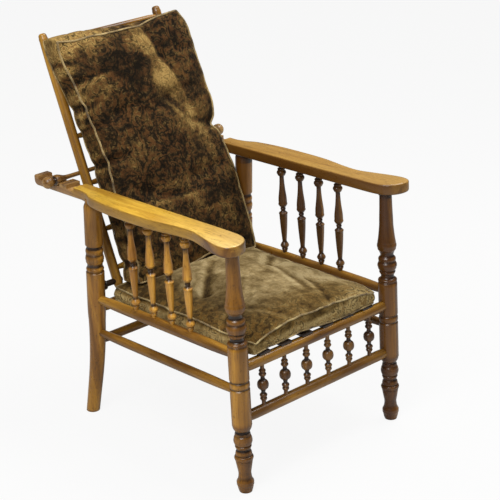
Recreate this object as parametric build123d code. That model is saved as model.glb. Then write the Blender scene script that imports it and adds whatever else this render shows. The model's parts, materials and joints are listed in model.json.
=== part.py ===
"""A reclining armchair with turned posts, spindle sides and loose cushions, in millimetres.

The chair faces -Y and +X is on the right of someone who looks at its front. It is laid out square, with its
front posts upright on the origin's line, and the finished pieces are then leaned back by the frame's rake.
The back turns on two pins in the rear posts and rests on a rod that drops into notches in the arms.
"""

import os
from math import asin, atan, atan2, copysign, cos, degrees, hypot, radians, sin, tan

from build123d import *

# Driving dimensions of the frame
post_spacing = 524.0
post_depth = 552.7
arm_top_height = 662.0
arm_thickness = 28.0
rake_angle = 2.0
floor_overrun = 12.0

# Fits
tenon_clearance = 0.1
socket_end_gap = 0.3
pivot_clearance = 0.05
seat_clearance = 0.3
bow_steps = 4

# Front posts: each row is a height share, a width share and the bow of the stretch below it
front_post_width = 49.5
front_tenon_width = 22.0
arm_tenon_length = 14.0
front_post_shares = [
    (0.0, 0.64, 0.0),
    (0.027, 0.81, 0.0),
    (0.055, 0.75, 0.038),
    (0.09, 0.673, -0.028),
    (0.133, 0.848, 0.0),
    (0.164, 0.828, 0.026),
    (0.186, 0.687, 0.0),
    (0.204, 0.818, 0.0),
    (0.24, 0.808, 0.059),
    (0.256, 0.707, 0.0),
    (0.285, 1.0, 0.05),
    (0.4379, 1.0, 0.0),
    (0.4414, 0.92, 0.0),
    (0.4449, 1.0, 0.0),
    (0.4661, 1.0, 0.0),
    (0.4696, 0.92, 0.0),
    (0.4731, 1.0, 0.0),
    (0.61, 1.0, 0.0),
    (0.617, 0.9, 0.0),
    (0.624, 0.945, 0.0),
    (0.631, 0.9, 0.0),
    (0.642, 0.667, 0.0),
    (0.67, 0.848, 0.0),
    (0.705, 0.848, 0.063),
    (0.716, 0.885, 0.0),
    (0.727, 0.828, 0.0),
    (0.738, 0.707, 0.0),
    (0.7555, 0.858, 0.0),
    (0.7965, 0.915, 0.046),
    (0.841, 0.78, 0.0),
    (0.927, 0.679, 0.0),
    (0.987, 0.646, 0.0),
    (0.987, 0.737, 0.0),
    (1.0, 0.737, 0.0),
]

# Rear posts: straight and leaning forward above the bend, turned back in a long curve below it
rear_post_width = 48.0
rear_tenon_width = 20.0
rear_bend_height = 300.0
rear_bend_radius = 1030.0
rear_lean_angle = 4.4
rear_splay_angle = 14.6
rear_post_shares = [
    (0.0, 0.933, 0.0),
    (0.122, 1.0, 0.0),
    (0.418, 1.0, 0.0),
    (0.427, 0.865, 0.0),
    (0.447, 0.93, 0.0),
    (0.466, 0.865, 0.0),
    (0.4925, 0.85, 0.0),
    (0.582, 0.87, 0.05),
    (0.582, 0.915, 0.0),
    (0.618, 0.915, 0.0),
    (0.63, 0.84, 0.0),
    (0.639, 0.84, 0.0),
    (0.652, 0.985, 0.0),
    (0.965, 0.985, 0.0),
    (1.03, 0.8, 0.0),
]
rear_leg_shares = [(1.0, 0.933), (0.69, 0.85), (0.377, 0.79), (0.0, 0.74)]

# Rails and stretchers: heights of the centre lines, widths in the middle and at the ends
tenon_stop = 8.0
tenon_shoulder = 2.0
seat_rail_height = 327.5
seat_rail_width = 28.5
seat_rail_end_width = 24.0
rear_rail_height = 333.0
side_rail_height = 364.0
side_rail_width = 28.0
side_rail_end_width = 22.5
lower_rail_height = 194.8
lower_rail_width = 27.5
lower_rail_end_width = 22.0
side_stretcher_height = 267.5
rear_stretcher_height = 238.0
stretcher_width = 24.0
stretcher_end_width = 19.0
short_taper = 34.0
long_taper = 115.0
taper_bow_share = 0.25

# Spindles under the arms
arm_spindle_count = 4
arm_spindle_first = 169.0
arm_spindle_pitch = 70.3
arm_spindle_width = 23.0
arm_spindle_tenon_width = 12.0
arm_spindle_tenon_length = 10.0
arm_spindle_neck_width = 10.5
arm_spindle_shares = [
    (0.0, 0.46, 0.0),
    (0.037, 0.65, 0.0),
    (0.06, 0.54, 0.0),
    (0.085, 0.88, 0.0),
    (0.105, 0.88, 0.0),
    (0.15, 0.52, 0.0),
    (0.44, 0.97, 0.0),
    (0.487, 0.52, 0.0),
    (0.55, 1.0, 0.0),
    (0.825, 0.52, 0.0),
    (0.88, 1.0, 0.0),
    (0.92, 1.0, 0.0),
    (0.96, 0.52, 0.0),
    (1.0, 0.52, 0.0),
]

# Ball spindles between the front rails
ball_spindle_count = 6
ball_width = 28.0
ball_spindle_tenon_length = 6.0
ball_spindle_neck_width = 10.5
ball_spindle_shares = [
    (0.0, 0.375, 0.0),
    (0.12, 0.42, 0.0),
    (0.21, 0.62, 0.0),
    (0.3, 0.4, 0.0),
    (0.375, 0.4, 0.0),
    (0.625, 0.4, 0.3),
    (0.7, 0.4, 0.0),
    (0.79, 0.62, 0.0),
    (0.88, 0.42, 0.0),
    (1.0, 0.375, 0.0),
]

# Arms: the plan is given in shares of the arm's width and length, from its inner edge and its front tip
arm_width = 85.0
arm_inner_offset = 34.0
arm_front_reach = 48.0
arm_edge_round = 4.0
arm_rear_round = 14.0
arm_rear_width_share = 0.53
arm_outer_shares = [
    (0.53, 0.751),
    (0.6, 0.715),
    (0.765, 0.668),
    (0.882, 0.553),
    (0.882, 0.38),
    (0.665, 0.225),
    (0.78, 0.149),
    (0.92, 0.094),
    (1.0, 0.04),
]
arm_tip_shares = [(0.65, 0.0), (0.22, 0.024)]
arm_inner_corner_share = 0.077

# Rack: two seats for the rod in the rear of each arm, with a screwed block between them
rod_rest_reach = 114.0
rod_seat_spacing = 62.0
rack_depth = 10.0
rod_seat_depth = 2.0
upright_notch_margin = 1.5
rear_notch_run = 74.0
rear_stop_length = 21.0
block_setback = 17.5
screw_head_width = 9.0
screw_shank_width = 4.0
screw_length = 20.0
screw_inset = 11.0
screw_sink = 2.5
screw_back_share = 0.67

# Support rod: a plain bar, and turned ends placed by the posts' centre lines
rod_width = 11.5
rod_swell_width = 29.0
rod_neck_width = 16.0
rod_ball_width = 31.0
rod_thin_inset = 36.0
rod_swell_inset = 4.0
rod_neck_overhang = 17.0
rod_ball_overhang = 33.0
rod_lip_share = 0.86
rod_bow_share = 0.3
rod_mouth_width = 17.0
rod_tenon_length = 18.0

# Back: a ladder of two stiles and turned rungs on the pivot line
stile_inset = 71.0
stile_width = 26.0
stile_top_width = 23.0
stile_tail = 20.0
stile_tail_bow_share = 0.125
stile_length = 670.0
stile_taper_length = 110.0
stile_tip_share = 0.33
stile_tip_bow_share = 0.25
pivot_height = 393.0
pivot_width = 16.0
pivot_collar_width = 26.0
pivot_collar_length = 6.0
rung_width = 15.5
rung_end_width = 12.5
rung_stop = 4.0
top_rail_drop = 27.0
rung_pitch = 126.3
full_rung_count = 4
bottom_rung_rise = 32.0
bottom_rung_width = 17.0

# Seat slats
slat_count = 6
slat_post_gap = 82.0
slat_width = 35.0
slat_thickness = 6.0
slat_overhang = 7.0
slat_bevel = 3.0

# Cushions: the crown is given in shares from the edge to the middle, and each tuft is pressed in by a ball
crown_shares = [(0.8, 0.49), (0.45, 0.91), (0.0, 1.0)]
tuft_radius = 50.0
tuft_depth = 15.0

# Seat cushion: each station is a depth share, a width share and a crown share
seat_cushion_side_gap = 39.0
seat_cushion_depth = 530.0
seat_cushion_overhang = 5.0
seat_boxing = 31.0
seat_crown = 38.0
seat_bottom_share = 0.965
seat_piping_share = 0.965
seat_station_shares = [
    (0.0, 0.93, 0.45),
    (0.07, 0.985, 0.7),
    (0.3, 0.97, 0.97),
    (0.55, 0.965, 1.0),
    (0.75, 0.97, 0.72),
    (0.87, 0.98, 0.32),
    (1.0, 0.95, 0.06),
]
seat_tuft_shares = [(0.28, 0.304), (0.28, 0.543)]

# Back cushion: each station is a height share, its left and right edges and a crown share
back_cushion_height = 648.0
back_cushion_drop = 8.0
back_cushion_side_gap = 36.0
back_boxing = 68.0
back_crown = 24.0
back_rear_crown = 8.0
back_bottom_share = 0.95
back_piping_share = 0.975
back_station_shares = [
    (0.0, -0.42, 0.491, 0.2),
    (0.06, -0.403, 0.513, 0.6),
    (0.24, -0.392, 0.513, 0.95),
    (0.4, -0.396, 0.499, 1.0),
    (0.5, -0.392, 0.469, 1.0),
    (0.6, -0.403, 0.493, 1.0),
    (0.77, -0.438, 0.48, 0.9),
    (0.93, -0.48, 0.478, 0.55),
    (1.0, -0.471, 0.442, 0.2),
]
back_tuft_shares = [(0.32, 0.32), (0.68, 0.32), (0.32, 0.66), (0.68, 0.66)]

# Places worked out from the sizes above
half_spacing = post_spacing / 2
arm_underside = arm_top_height - arm_thickness
rack_floor = arm_top_height - rack_depth
rod_radius = rod_width / 2
rod_swell_radius = rod_swell_width / 2
rod_seat_radius = rod_swell_radius + seat_clearance
rod_height = rack_floor - rod_seat_depth + rod_seat_radius
rod_rest_y = post_depth + rod_rest_reach
rod_upright_y = rod_rest_y - rod_seat_spacing
arm_length = arm_front_reach + rod_rest_y + rear_notch_run + rear_stop_length
tenon_length = front_post_width / 2 - tenon_stop + tenon_shoulder
rear_straight_length = (arm_underside - rear_bend_height) / cos(radians(rear_lean_angle))
stile_x = half_spacing - stile_inset
rod_thin_reach = half_spacing - rod_thin_inset
rod_swell_reach = half_spacing - rod_swell_inset
rod_neck_reach = half_spacing + rod_neck_overhang
rod_ball_reach = half_spacing + rod_ball_overhang
ball_spindle_pitch = post_spacing / (ball_spindle_count + 1)
slat_pitch = (post_spacing - slat_post_gap * 2) / (slat_count - 1)
seat_cushion_width = post_spacing - seat_cushion_side_gap * 2
back_cushion_width = post_spacing - back_cushion_side_gap * 2
bend_centre_y = post_depth + rear_bend_radius * cos(radians(rear_lean_angle))
bend_centre_z = rear_bend_height + rear_bend_radius * sin(radians(rear_lean_angle))


def rear_axis(height):
    """The rear post's centre line at a height: its place front to back, and how far it slopes there."""
    slope = radians(rear_lean_angle)
    if height < rear_bend_height:
        slope = asin((bend_centre_z - height) / rear_bend_radius)
    if slope <= radians(rear_splay_angle) and height < rear_bend_height:
        return bend_centre_y - rear_bend_radius * cos(slope), slope
    if height >= rear_bend_height:
        return post_depth - (height - rear_bend_height) * tan(slope), slope
    slope = radians(rear_splay_angle)
    foot_y = bend_centre_y - rear_bend_radius * cos(slope)
    foot_z = bend_centre_z - rear_bend_radius * sin(slope)
    return foot_y + (foot_z - height) * tan(slope), slope


pivot_y = rear_axis(pivot_height)[0]
rod_rise = rod_height - pivot_height
rod_offset = (stile_width + rod_width) / 2 + seat_clearance


def lean_against(rod_y):
    """The lean of the back, in degrees from the posts, when its stiles rest on a rod at this place."""
    reach = hypot(rod_y - pivot_y, rod_rise)
    return degrees(atan2(rod_y - pivot_y, rod_rise) - asin(rod_offset / reach))


back_lean = lean_against(rod_rest_y)
upright_turn = back_lean - lean_against(rod_upright_y)
back_place = Location((0, pivot_y, pivot_height), (-back_lean, 0, 0))


def bowed(inner, below, outer, above, bow):
    """The points of a bow between two places on a turning's outline, on a circle's arc."""
    run = hypot(outer - inner, above - below)
    radius = (run**2 / 4 + bow**2) / (2 * abs(bow))
    half_turn = asin(min(run / (2 * radius), 1))
    middle_radius, middle_height = (inner + outer) / 2, (below + above) / 2
    points = []
    for step in range(1, bow_steps):
        turn = half_turn * (2 * step / bow_steps - 1)
        forward = radius * sin(turn)
        outward = copysign(radius * cos(turn) - radius + abs(bow), bow)
        across = middle_radius + (forward * (outer - inner) + outward * (above - below)) / run
        height = middle_height + (forward * (above - below) - outward * (outer - inner)) / run
        points.append((across, height))
    return points


def revolved(rows):
    """A solid about +Z through rows of height, radius and the outward bow of the stretch below each."""
    low, high = rows[0][0], rows[-1][0]
    points = [(rows[0][1], low)]
    for (below, inner, _), (above, outer, bow) in zip(rows, rows[1:]):
        if bow:
            points += bowed(inner, below, outer, above, bow)
        points.append((outer, above))
    edges = [Line((0, high), (0, low)), Line((0, low), points[0])]
    edges += [Line(start, end) for start, end in zip(points, points[1:])]
    edges.append(Line(points[-1], (0, high)))
    return revolve(Plane.XZ * make_face(edges), Axis.Z)


def turned(length, width, shares):
    """A turning of a given length and width from a table of shares."""
    return revolved([(rise * length, across * width / 2, bow * width) for rise, across, bow in shares])


def post(width, height):
    """A plain round bar that stands on its place."""
    return Cylinder(width / 2, height, align=(Align.CENTER, Align.CENTER, Align.MIN))


def along(start, end):
    """The place that carries +Z onto the line from one point to another."""
    return Plane(origin=start, z_dir=Vector(*end) - Vector(*start)).location


def rail_ends(start, end):
    """The two ends of a rail whose tenons stop short of the posts' centre lines."""
    way = (Vector(*end) - Vector(*start)).normalized()
    return Vector(*start) + way * tenon_stop, Vector(*end) - way * tenon_stop


def rail(line, width, end_width, taper):
    """A round rail between two centre lines, parallel in its tenons and full in the middle."""
    start, end = rail_ends(*line)
    length = (end - start).length
    thin, full = end_width / 2, width / 2
    bow = (full - thin) * taper_bow_share
    near, far = tenon_length, length - tenon_length
    edges = [
        Line((0, length), (0, 0)),
        Line((0, 0), (thin, 0)),
        Line((thin, 0), (thin, near)),
        ThreePointArc((thin, near), ((thin + full) / 2 + bow, near + taper / 2), (full, near + taper)),
        Line((full, near + taper), (full, far - taper)),
        ThreePointArc((full, far - taper), ((thin + full) / 2 + bow, far - taper / 2), (thin, far)),
        Line((thin, far), (thin, length)),
        Line((thin, length), (0, length)),
    ]
    return along(start, end) * revolve(Plane.XZ * make_face(edges), Axis.Z)


def rail_sockets(line, end_width):
    """The two holes that a rail's tenons fill."""
    start, end = rail_ends(*line)
    way = (end - start).normalized()
    hole = post(end_width + tenon_clearance * 2, tenon_length * 2)
    first = along(start - way * socket_end_gap, end) * hole
    last = along(end + way * socket_end_gap, start) * hole
    return [first, last]


def level_line(side, height):
    """The centre line of a side rail, from the front post to the rear post, on the side of X given."""
    x = side * half_spacing
    return (x, 0, height), (x, rear_axis(height)[0], height)


def cross_line(y, height):
    """The centre line of a rail across the chair."""
    return (-half_spacing, y, height), (half_spacing, y, height)


front_lines = {
    "front_seat_rail": (cross_line(0, seat_rail_height), seat_rail_width, seat_rail_end_width),
    "lower_front_rail": (cross_line(0, lower_rail_height), lower_rail_width, lower_rail_end_width),
}
rear_lines = {
    "rear_seat_rail": (
        cross_line(rear_axis(rear_rail_height)[0], rear_rail_height),
        seat_rail_width,
        seat_rail_end_width,
    ),
    "rear_stretcher": (
        cross_line(rear_axis(rear_stretcher_height)[0], rear_stretcher_height),
        stretcher_width,
        stretcher_end_width,
    ),
}


def side_lines(side):
    """The rail and the stretcher on one side."""
    return [
        (level_line(side, side_rail_height), side_rail_width, side_rail_end_width),
        (level_line(side, side_stretcher_height), stretcher_width, stretcher_end_width),
    ]


def front_post(side):
    """A front post with its foot, beads and grooves, its tenon and the sockets for three kinds of rail."""
    body = turned(arm_underside, front_post_width, front_post_shares)
    foot_width = front_post_width * front_post_shares[0][1]
    body += Pos(0, 0, -floor_overrun) * post(foot_width, floor_overrun)
    body += Pos(0, 0, arm_underside) * post(front_tenon_width, arm_tenon_length)
    body = Pos(side * half_spacing, 0, 0) * body
    for line, _, end_width in list(front_lines.values()) + side_lines(side):
        body -= rail_sockets(line, end_width)
    return body


def rear_leg():
    """The curved lower part of a rear post, through circles square to its centre line."""
    rings = []
    for rise, across in rear_leg_shares:
        height = rise * rear_bend_height
        y, slope = rear_axis(height)
        square = Plane(origin=(0, y, height), x_dir=(1, 0, 0), z_dir=(0, -sin(slope), cos(slope)))
        rings.append(square * Circle(across * rear_post_width / 2))
    return loft(rings, ruled=True)


def rear_tenon(side, width, length):
    """A bar on the rear post's upper centre line that passes up through the arm's underside."""
    y, slope = rear_axis(arm_underside)
    start = (side * half_spacing, y, arm_underside)
    return along(start, (start[0], y - sin(slope), arm_underside + cos(slope))) * post(width, length)


def pivot_line(side):
    """The pivot pin's line, from the rear post's centre line towards the middle."""
    return (side * half_spacing, pivot_y, pivot_height), (0, pivot_y, pivot_height)


def rear_post(side):
    """A rear post with its curved leg, beads and drum, cut level under the arm."""
    slope = radians(rear_lean_angle)
    upper = turned(rear_straight_length, rear_post_width, rear_post_shares)
    place = along((0, post_depth, rear_bend_height), (0, post_depth - sin(slope), rear_bend_height + cos(slope)))
    body = place * upper + rear_leg()
    body = split(body, Plane.XY.offset(arm_underside), keep=Keep.BOTTOM)
    body = Pos(side * half_spacing, 0, 0) * body
    body += rear_tenon(side, rear_tenon_width, arm_tenon_length)
    for line, _, end_width in list(rear_lines.values()) + side_lines(side):
        body -= rail_sockets(line, end_width)
    start, end = pivot_line(side)
    depth = rear_post_width - tenon_stop
    hole = post(pivot_width + tenon_clearance * 2, depth)
    inset = Vector(*start) + (Vector(*end) - Vector(*start)).normalized() * (tenon_stop - socket_end_gap)
    return body - along(inset, end) * hole


def pivot_pin(side):
    """A turned pin: a tenon in the rear post, a collar against it and a shank through the stile."""
    start, end = pivot_line(side)
    collar = rear_post_width / 2 + seat_clearance - tenon_stop
    far_end = stile_inset + stile_width / 2 - tenon_stop
    radius = pivot_width / 2
    collar_radius = pivot_collar_width / 2
    rows = [
        (0, radius, 0),
        (collar, radius, 0),
        (collar, collar_radius, 0),
        (collar + pivot_collar_length, collar_radius, 0),
        (collar + pivot_collar_length, radius, 0),
        (far_end, radius, 0),
    ]
    inset = Vector(*start) + (Vector(*end) - Vector(*start)).normalized() * tenon_stop
    return along(inset, end) * revolved(rows)


def spindle_places(side):
    """Where the arm spindles stand, front to back."""
    x = side * half_spacing
    return [(x, arm_spindle_first + step * arm_spindle_pitch) for step in range(arm_spindle_count)]


def arm_spindle():
    """One spindle from the side rail up to the arm, on its own foot."""
    foot = side_rail_height + side_rail_width / 2
    length = arm_underside - foot
    body = turned(length, arm_spindle_width, arm_spindle_shares)
    body += Pos(0, 0, -arm_spindle_tenon_length) * post(arm_spindle_neck_width, arm_spindle_tenon_length)
    body += Pos(0, 0, length) * post(arm_spindle_tenon_width, arm_spindle_tenon_length)
    return Pos(0, 0, foot) * body


def spindle_socket(width, height, depth):
    """An upright hole for a spindle's tenon, from a height down by a depth."""
    return Pos(0, 0, height - depth) * post(width + tenon_clearance * 2, depth)


def side_rail(side):
    """A side seat rail, drilled for the arm spindles."""
    line, width, end_width = side_lines(side)[0]
    body = rail(line, width, end_width, long_taper)
    depth = arm_spindle_tenon_length + socket_end_gap + width / 2
    for x, y in spindle_places(side):
        hole = spindle_socket(arm_spindle_neck_width, side_rail_height + width, depth + width / 2)
        body -= Pos(x, y, 0) * hole
    return body


def ball_places():
    """Where the ball spindles stand across the front."""
    first = -(ball_spindle_count - 1) / 2 * ball_spindle_pitch
    return [first + step * ball_spindle_pitch for step in range(ball_spindle_count)]


def ball_spindles():
    """The row of ball spindles between the two front rails."""
    foot = lower_rail_height + lower_rail_width / 2
    head = seat_rail_height - seat_rail_width / 2
    one = turned(head - foot, ball_width, ball_spindle_shares)
    tenon = post(ball_spindle_neck_width, ball_spindle_tenon_length)
    one += Pos(0, 0, -ball_spindle_tenon_length) * tenon
    one += Pos(0, 0, head - foot) * tenon
    return Compound([Pos(x, 0, foot) * one.solid() for x in ball_places()])


def front_rail(name):
    """A front rail, drilled for the ball spindles on the side that faces the other front rail."""
    line, width, end_width = front_lines[name]
    body = rail(line, width, end_width, short_taper)
    deep = ball_spindle_tenon_length + socket_end_gap
    for x in ball_places():
        if name == "front_seat_rail":
            foot = seat_rail_height - width
            hole = spindle_socket(ball_spindle_neck_width, seat_rail_height - width / 2 + deep, width / 2 + deep)
        else:
            foot = lower_rail_height + width
            hole = spindle_socket(ball_spindle_neck_width, foot, width / 2 + deep)
        body -= Pos(x, 0, 0) * hole
    return body


def arm_outline(side):
    """The arm's plan: straight inside, swept in at the waist and the rear outside, and round at the tip."""
    inner = half_spacing - arm_inner_offset
    tip = -arm_front_reach

    def spot(across, back):
        return side * (inner + across * arm_width), tip + back * arm_length

    outer = [spot(*place) for place in arm_outer_shares]
    rear_outer = spot(arm_rear_width_share, 1)
    tip_places = [spot(*place) for place in arm_tip_shares]
    inner_corner = spot(0, arm_inner_corner_share)
    edges = [
        Line(rear_outer, outer[0]),
        Spline(outer, tangents=[(0, -1), (0, -1)]),
        Spline([outer[-1], *tip_places, inner_corner], tangents=[(0, -1), (0, 1)]),
        Line(inner_corner, spot(0, 1)),
        Line(spot(0, 1), rear_outer),
    ]
    return make_face(edges)


def rack_slot(front, back, side):
    """What the rack loses between two places along the arm, across its whole width."""
    wide = arm_width * 2
    return Pos(side * half_spacing, front, rack_floor) * Box(
        wide, back - front, rack_depth * 2, align=(Align.CENTER, Align.MIN, Align.MIN)
    )


def rod_seat(y, side):
    """The shallow round seat that the rod's swelling lies in."""
    return Pos(side * half_spacing, y, rod_height) * Rot(0, 90, 0) * Cylinder(rod_seat_radius, arm_width * 2)


def block_span():
    """The front and the back of the block between the two notches."""
    half_notch = rod_swell_radius + upright_notch_margin / 2
    return rod_upright_y + half_notch, rod_rest_y - block_setback


def screw_place(side):
    """Where the block's screw stands."""
    front, back = block_span()
    x = half_spacing - arm_inner_offset + screw_inset
    return side * x, front + (back - front) * screw_back_share


def screw_shape(clearance):
    """A countersunk screw, or with a clearance the hole that it fills, head up."""
    head = screw_head_width / 2 + clearance
    shank = screw_shank_width / 2 + clearance
    rows = [
        (-screw_length - clearance, shank, 0),
        (-(head - shank), shank, 0),
        (0, head, 0),
    ]
    body = revolved(rows)
    if clearance:
        body += post(head * 2, screw_sink * 2)
    return Pos(0, 0, arm_top_height - screw_sink) * body


def arm(side):
    """An arm with its rack, the sockets of two posts and four spindles, and the block's screw hole."""
    body = extrude(arm_outline(side), arm_thickness)
    body = Pos(0, 0, arm_underside) * body
    rear = body.faces().sort_by(Axis.Y)[-1].edges().sort_by(Axis.Z)[0]
    body = fillet(rear, arm_rear_round)
    rim = body.faces().sort_by(Axis.Z)[-1].edges()
    body = fillet(rim, arm_edge_round)
    half_notch = rod_swell_radius + upright_notch_margin / 2
    body -= rack_slot(rod_upright_y - half_notch, rod_rest_y + rear_notch_run, side)
    body -= rod_seat(rod_rest_y, side) + rod_seat(rod_upright_y, side)
    depth = arm_tenon_length + socket_end_gap
    front_socket = Pos(side * half_spacing, 0, arm_underside) * post(
        front_tenon_width + tenon_clearance * 2, depth
    )
    body -= front_socket
    body -= rear_tenon(side, rear_tenon_width + tenon_clearance * 2, depth)
    for x, y in spindle_places(side):
        hole = spindle_socket(
            arm_spindle_tenon_width,
            arm_underside + arm_spindle_tenon_length + socket_end_gap,
            arm_spindle_tenon_length + socket_end_gap,
        )
        body -= Pos(x, y, 0) * hole
    return body - Pos(*screw_place(side), 0) * screw_shape(tenon_clearance)


def rack_block(side):
    """The block between the two notches, flush with the arm's sides."""
    front, back = block_span()
    inner = half_spacing - arm_inner_offset
    width = arm_width * arm_rear_width_share
    body = Pos(side * (inner + width / 2), front, rack_floor) * Box(
        width, back - front, rack_depth, align=(Align.CENTER, Align.MIN, Align.MIN)
    )
    return body - Pos(*screw_place(side), 0) * screw_shape(tenon_clearance)


def rack_screws():
    """The two screws that hold the blocks down."""
    return Compound([Pos(*screw_place(side), 0) * screw_shape(0).solid() for side in (-1, 1)])


def support_rod():
    """The plain bar behind the stiles, whose ends are glued into the two turned ends."""
    reach = rod_thin_reach + rod_tenon_length
    bar = Pos(0, 0, -reach) * post(rod_width, reach * 2)
    return Pos(0, rod_rest_y, rod_height) * Rot(0, 90, 0) * bar


def rod_end(side):
    """A turned end of the rod: a swelling that lies in the notch, a neck and a ball."""
    lip = rod_swell_radius * rod_lip_share
    neck = rod_neck_width / 2
    ball = rod_ball_width / 2
    swell_bow = (rod_swell_radius - lip) * rod_bow_share
    ball_bow = (ball - neck) * rod_bow_share
    cap = neck * rod_lip_share
    rows = [
        (rod_thin_reach, rod_mouth_width / 2, 0),
        (rod_swell_reach * 2 - rod_neck_reach, lip, 0),
        (rod_swell_reach, rod_swell_radius, swell_bow),
        (rod_neck_reach - neck / 2, lip, swell_bow),
        (rod_neck_reach, neck, 0),
        (rod_ball_reach, ball, ball_bow),
        (rod_ball_reach + (rod_ball_reach - rod_neck_reach) * rod_lip_share, cap, ball_bow),
    ]
    hole = post(rod_width + tenon_clearance * 2, rod_thin_reach + rod_tenon_length + socket_end_gap)
    return Pos(0, rod_rest_y, rod_height) * Rot(0, side * 90, 0) * (revolved(rows) - hole)


def rung_heights():
    """How far up the stiles the rungs stand, from the bottom rung to the top rail."""
    top = stile_length - top_rail_drop
    pitched = [top - step * rung_pitch for step in range(full_rung_count + 1)]
    return [bottom_rung_rise] + list(reversed(pitched))


def rung(height):
    """A rung between the stiles, thinner in its sockets."""
    reach = stile_x - rung_stop
    width = bottom_rung_width if height == bottom_rung_rise else rung_width
    tenon = stile_width / 2
    rows = [
        (-reach, rung_end_width / 2, 0),
        (-reach + tenon, rung_end_width / 2, 0),
        (-reach + tenon * 2, width / 2, 0),
        (reach - tenon * 2, width / 2, 0),
        (reach - tenon, rung_end_width / 2, 0),
        (reach, rung_end_width / 2, 0),
    ]
    return back_place * Pos(0, 0, height) * Rot(0, 90, 0) * revolved(rows)


def stile(side):
    """A stile that tapers to a rounded tip, bored for the pivot and socketed for the rungs."""
    bottom = stile_width / 2
    top = stile_top_width / 2
    rows = [
        (-stile_tail, bottom / 2, 0),
        (-stile_tail + bottom / 2, bottom, bottom * stile_tail_bow_share),
        (stile_length - stile_taper_length, bottom, 0),
        (stile_length - top, top, 0),
        (stile_length, top * stile_tip_share, top * stile_tip_bow_share),
    ]
    body = Pos(side * stile_x, 0, 0) * revolved(rows)
    reach = stile_x - rung_stop + socket_end_gap
    for height in rung_heights():
        hole = Rot(0, 90, 0) * Cylinder(rung_end_width / 2 + tenon_clearance, reach * 2)
        body -= Pos(0, 0, height) * hole
    bore = Cylinder(pivot_width / 2 + pivot_clearance, stile_width * 2)
    return back_place * (body - Pos(side * stile_x, 0, 0) * Rot(0, 90, 0) * bore)


def slat_top(y):
    """How high the slats' upper faces lie at a place front to back."""
    front = seat_rail_height + seat_rail_width / 2
    rise = rear_rail_height - seat_rail_height
    return front + rise * y / rear_axis(rear_rail_height)[0] + slat_thickness + tenon_clearance


def seat_slat(step):
    """One slat over the front and rear seat rails, bevelled at its front end."""
    x = (step - (slat_count - 1) / 2) * slat_pitch
    rear_y = rear_axis(rear_rail_height)[0]
    length = rear_y + slat_overhang * 2
    slope = degrees(atan((rear_rail_height - seat_rail_height) / rear_y))
    body = Box(slat_width, length, slat_thickness, align=(Align.CENTER, Align.MIN, Align.MAX))
    front = body.faces().sort_by(Axis.Y)[0].edges().sort_by(Axis.Z)[-1]
    body = chamfer(front, slat_bevel)
    return Pos(x, -slat_overhang, slat_top(-slat_overhang)) * Rot(slope, 0, 0) * body


def cushion_section(width, boxing, crown, rear_crown, bottom_share, piping_share):
    """A cushion's cross-section: boxed sides that bulge, a full crown above and a flatter face below."""
    half_width = width / 2
    low = half_width * bottom_share
    high = half_width * piping_share
    rear = Line((-low, 0), (low, 0))
    if rear_crown:
        rear = ThreePointArc((-low, 0), (0, -rear_crown), (low, 0))
    right = [(high, boxing)] + [(high * across, boxing + crown * rise) for across, rise in crown_shares]
    left = [(-across, height) for across, height in reversed(right[:-1])]
    return make_face(
        [
            rear,
            ThreePointArc((low, 0), (half_width, boxing / 2), (high, boxing)),
            Spline(right + left),
            ThreePointArc((-high, boxing), (-half_width, boxing / 2), (-low, 0)),
        ]
    )


def seat_cushion():
    """The seat cushion: crowned, drawn in along its sides and sewn down at four tufts."""
    sections = []
    for back, across, crown in seat_station_shares:
        y = -seat_cushion_overhang + back * seat_cushion_depth
        width = across * seat_cushion_width
        outline = cushion_section(width, seat_boxing, crown * seat_crown, 0, seat_bottom_share, seat_piping_share)
        sections.append(Pos(0, y, slat_top(y) + seat_clearance) * (Plane.XZ * outline))
    body = loft(sections, ruled=True)
    for across, back in seat_tuft_shares:
        y = -seat_cushion_overhang + back * seat_cushion_depth
        top = slat_top(y) + seat_boxing + seat_crown
        for side in (-1, 1):
            x = side * across * seat_cushion_width
            body -= Pos(x, y, top - tuft_depth + tuft_radius) * Sphere(tuft_radius)
    return body


def back_cushion():
    """The back cushion: it leans on the stiles, slumps to one side and is sewn down at four tufts."""
    sections = []
    for rise, left, right, crown in back_station_shares:
        width = (right - left) * back_cushion_width
        outline = cushion_section(
            width,
            back_boxing,
            crown * back_crown,
            crown * back_rear_crown,
            back_bottom_share,
            back_piping_share,
        )
        middle = (right + left) * back_cushion_width / 2
        facing = Plane(origin=(middle, 0, rise * back_cushion_height), x_dir=(1, 0, 0), z_dir=(0, 0, 1))
        sections.append(facing * mirror(outline, Plane.XZ))
    body = loft(sections, ruled=True)
    front = back_boxing + back_crown
    for across, rise in back_tuft_shares:
        x = across * back_cushion_width - back_cushion_width / 2
        body -= Pos(x, -front + tuft_depth - tuft_radius, rise * back_cushion_height) * Sphere(tuft_radius)
    gap = rung_width / 2 + back_rear_crown + seat_clearance
    return back_place * Pos(0, -gap, -back_cushion_drop) * body


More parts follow.
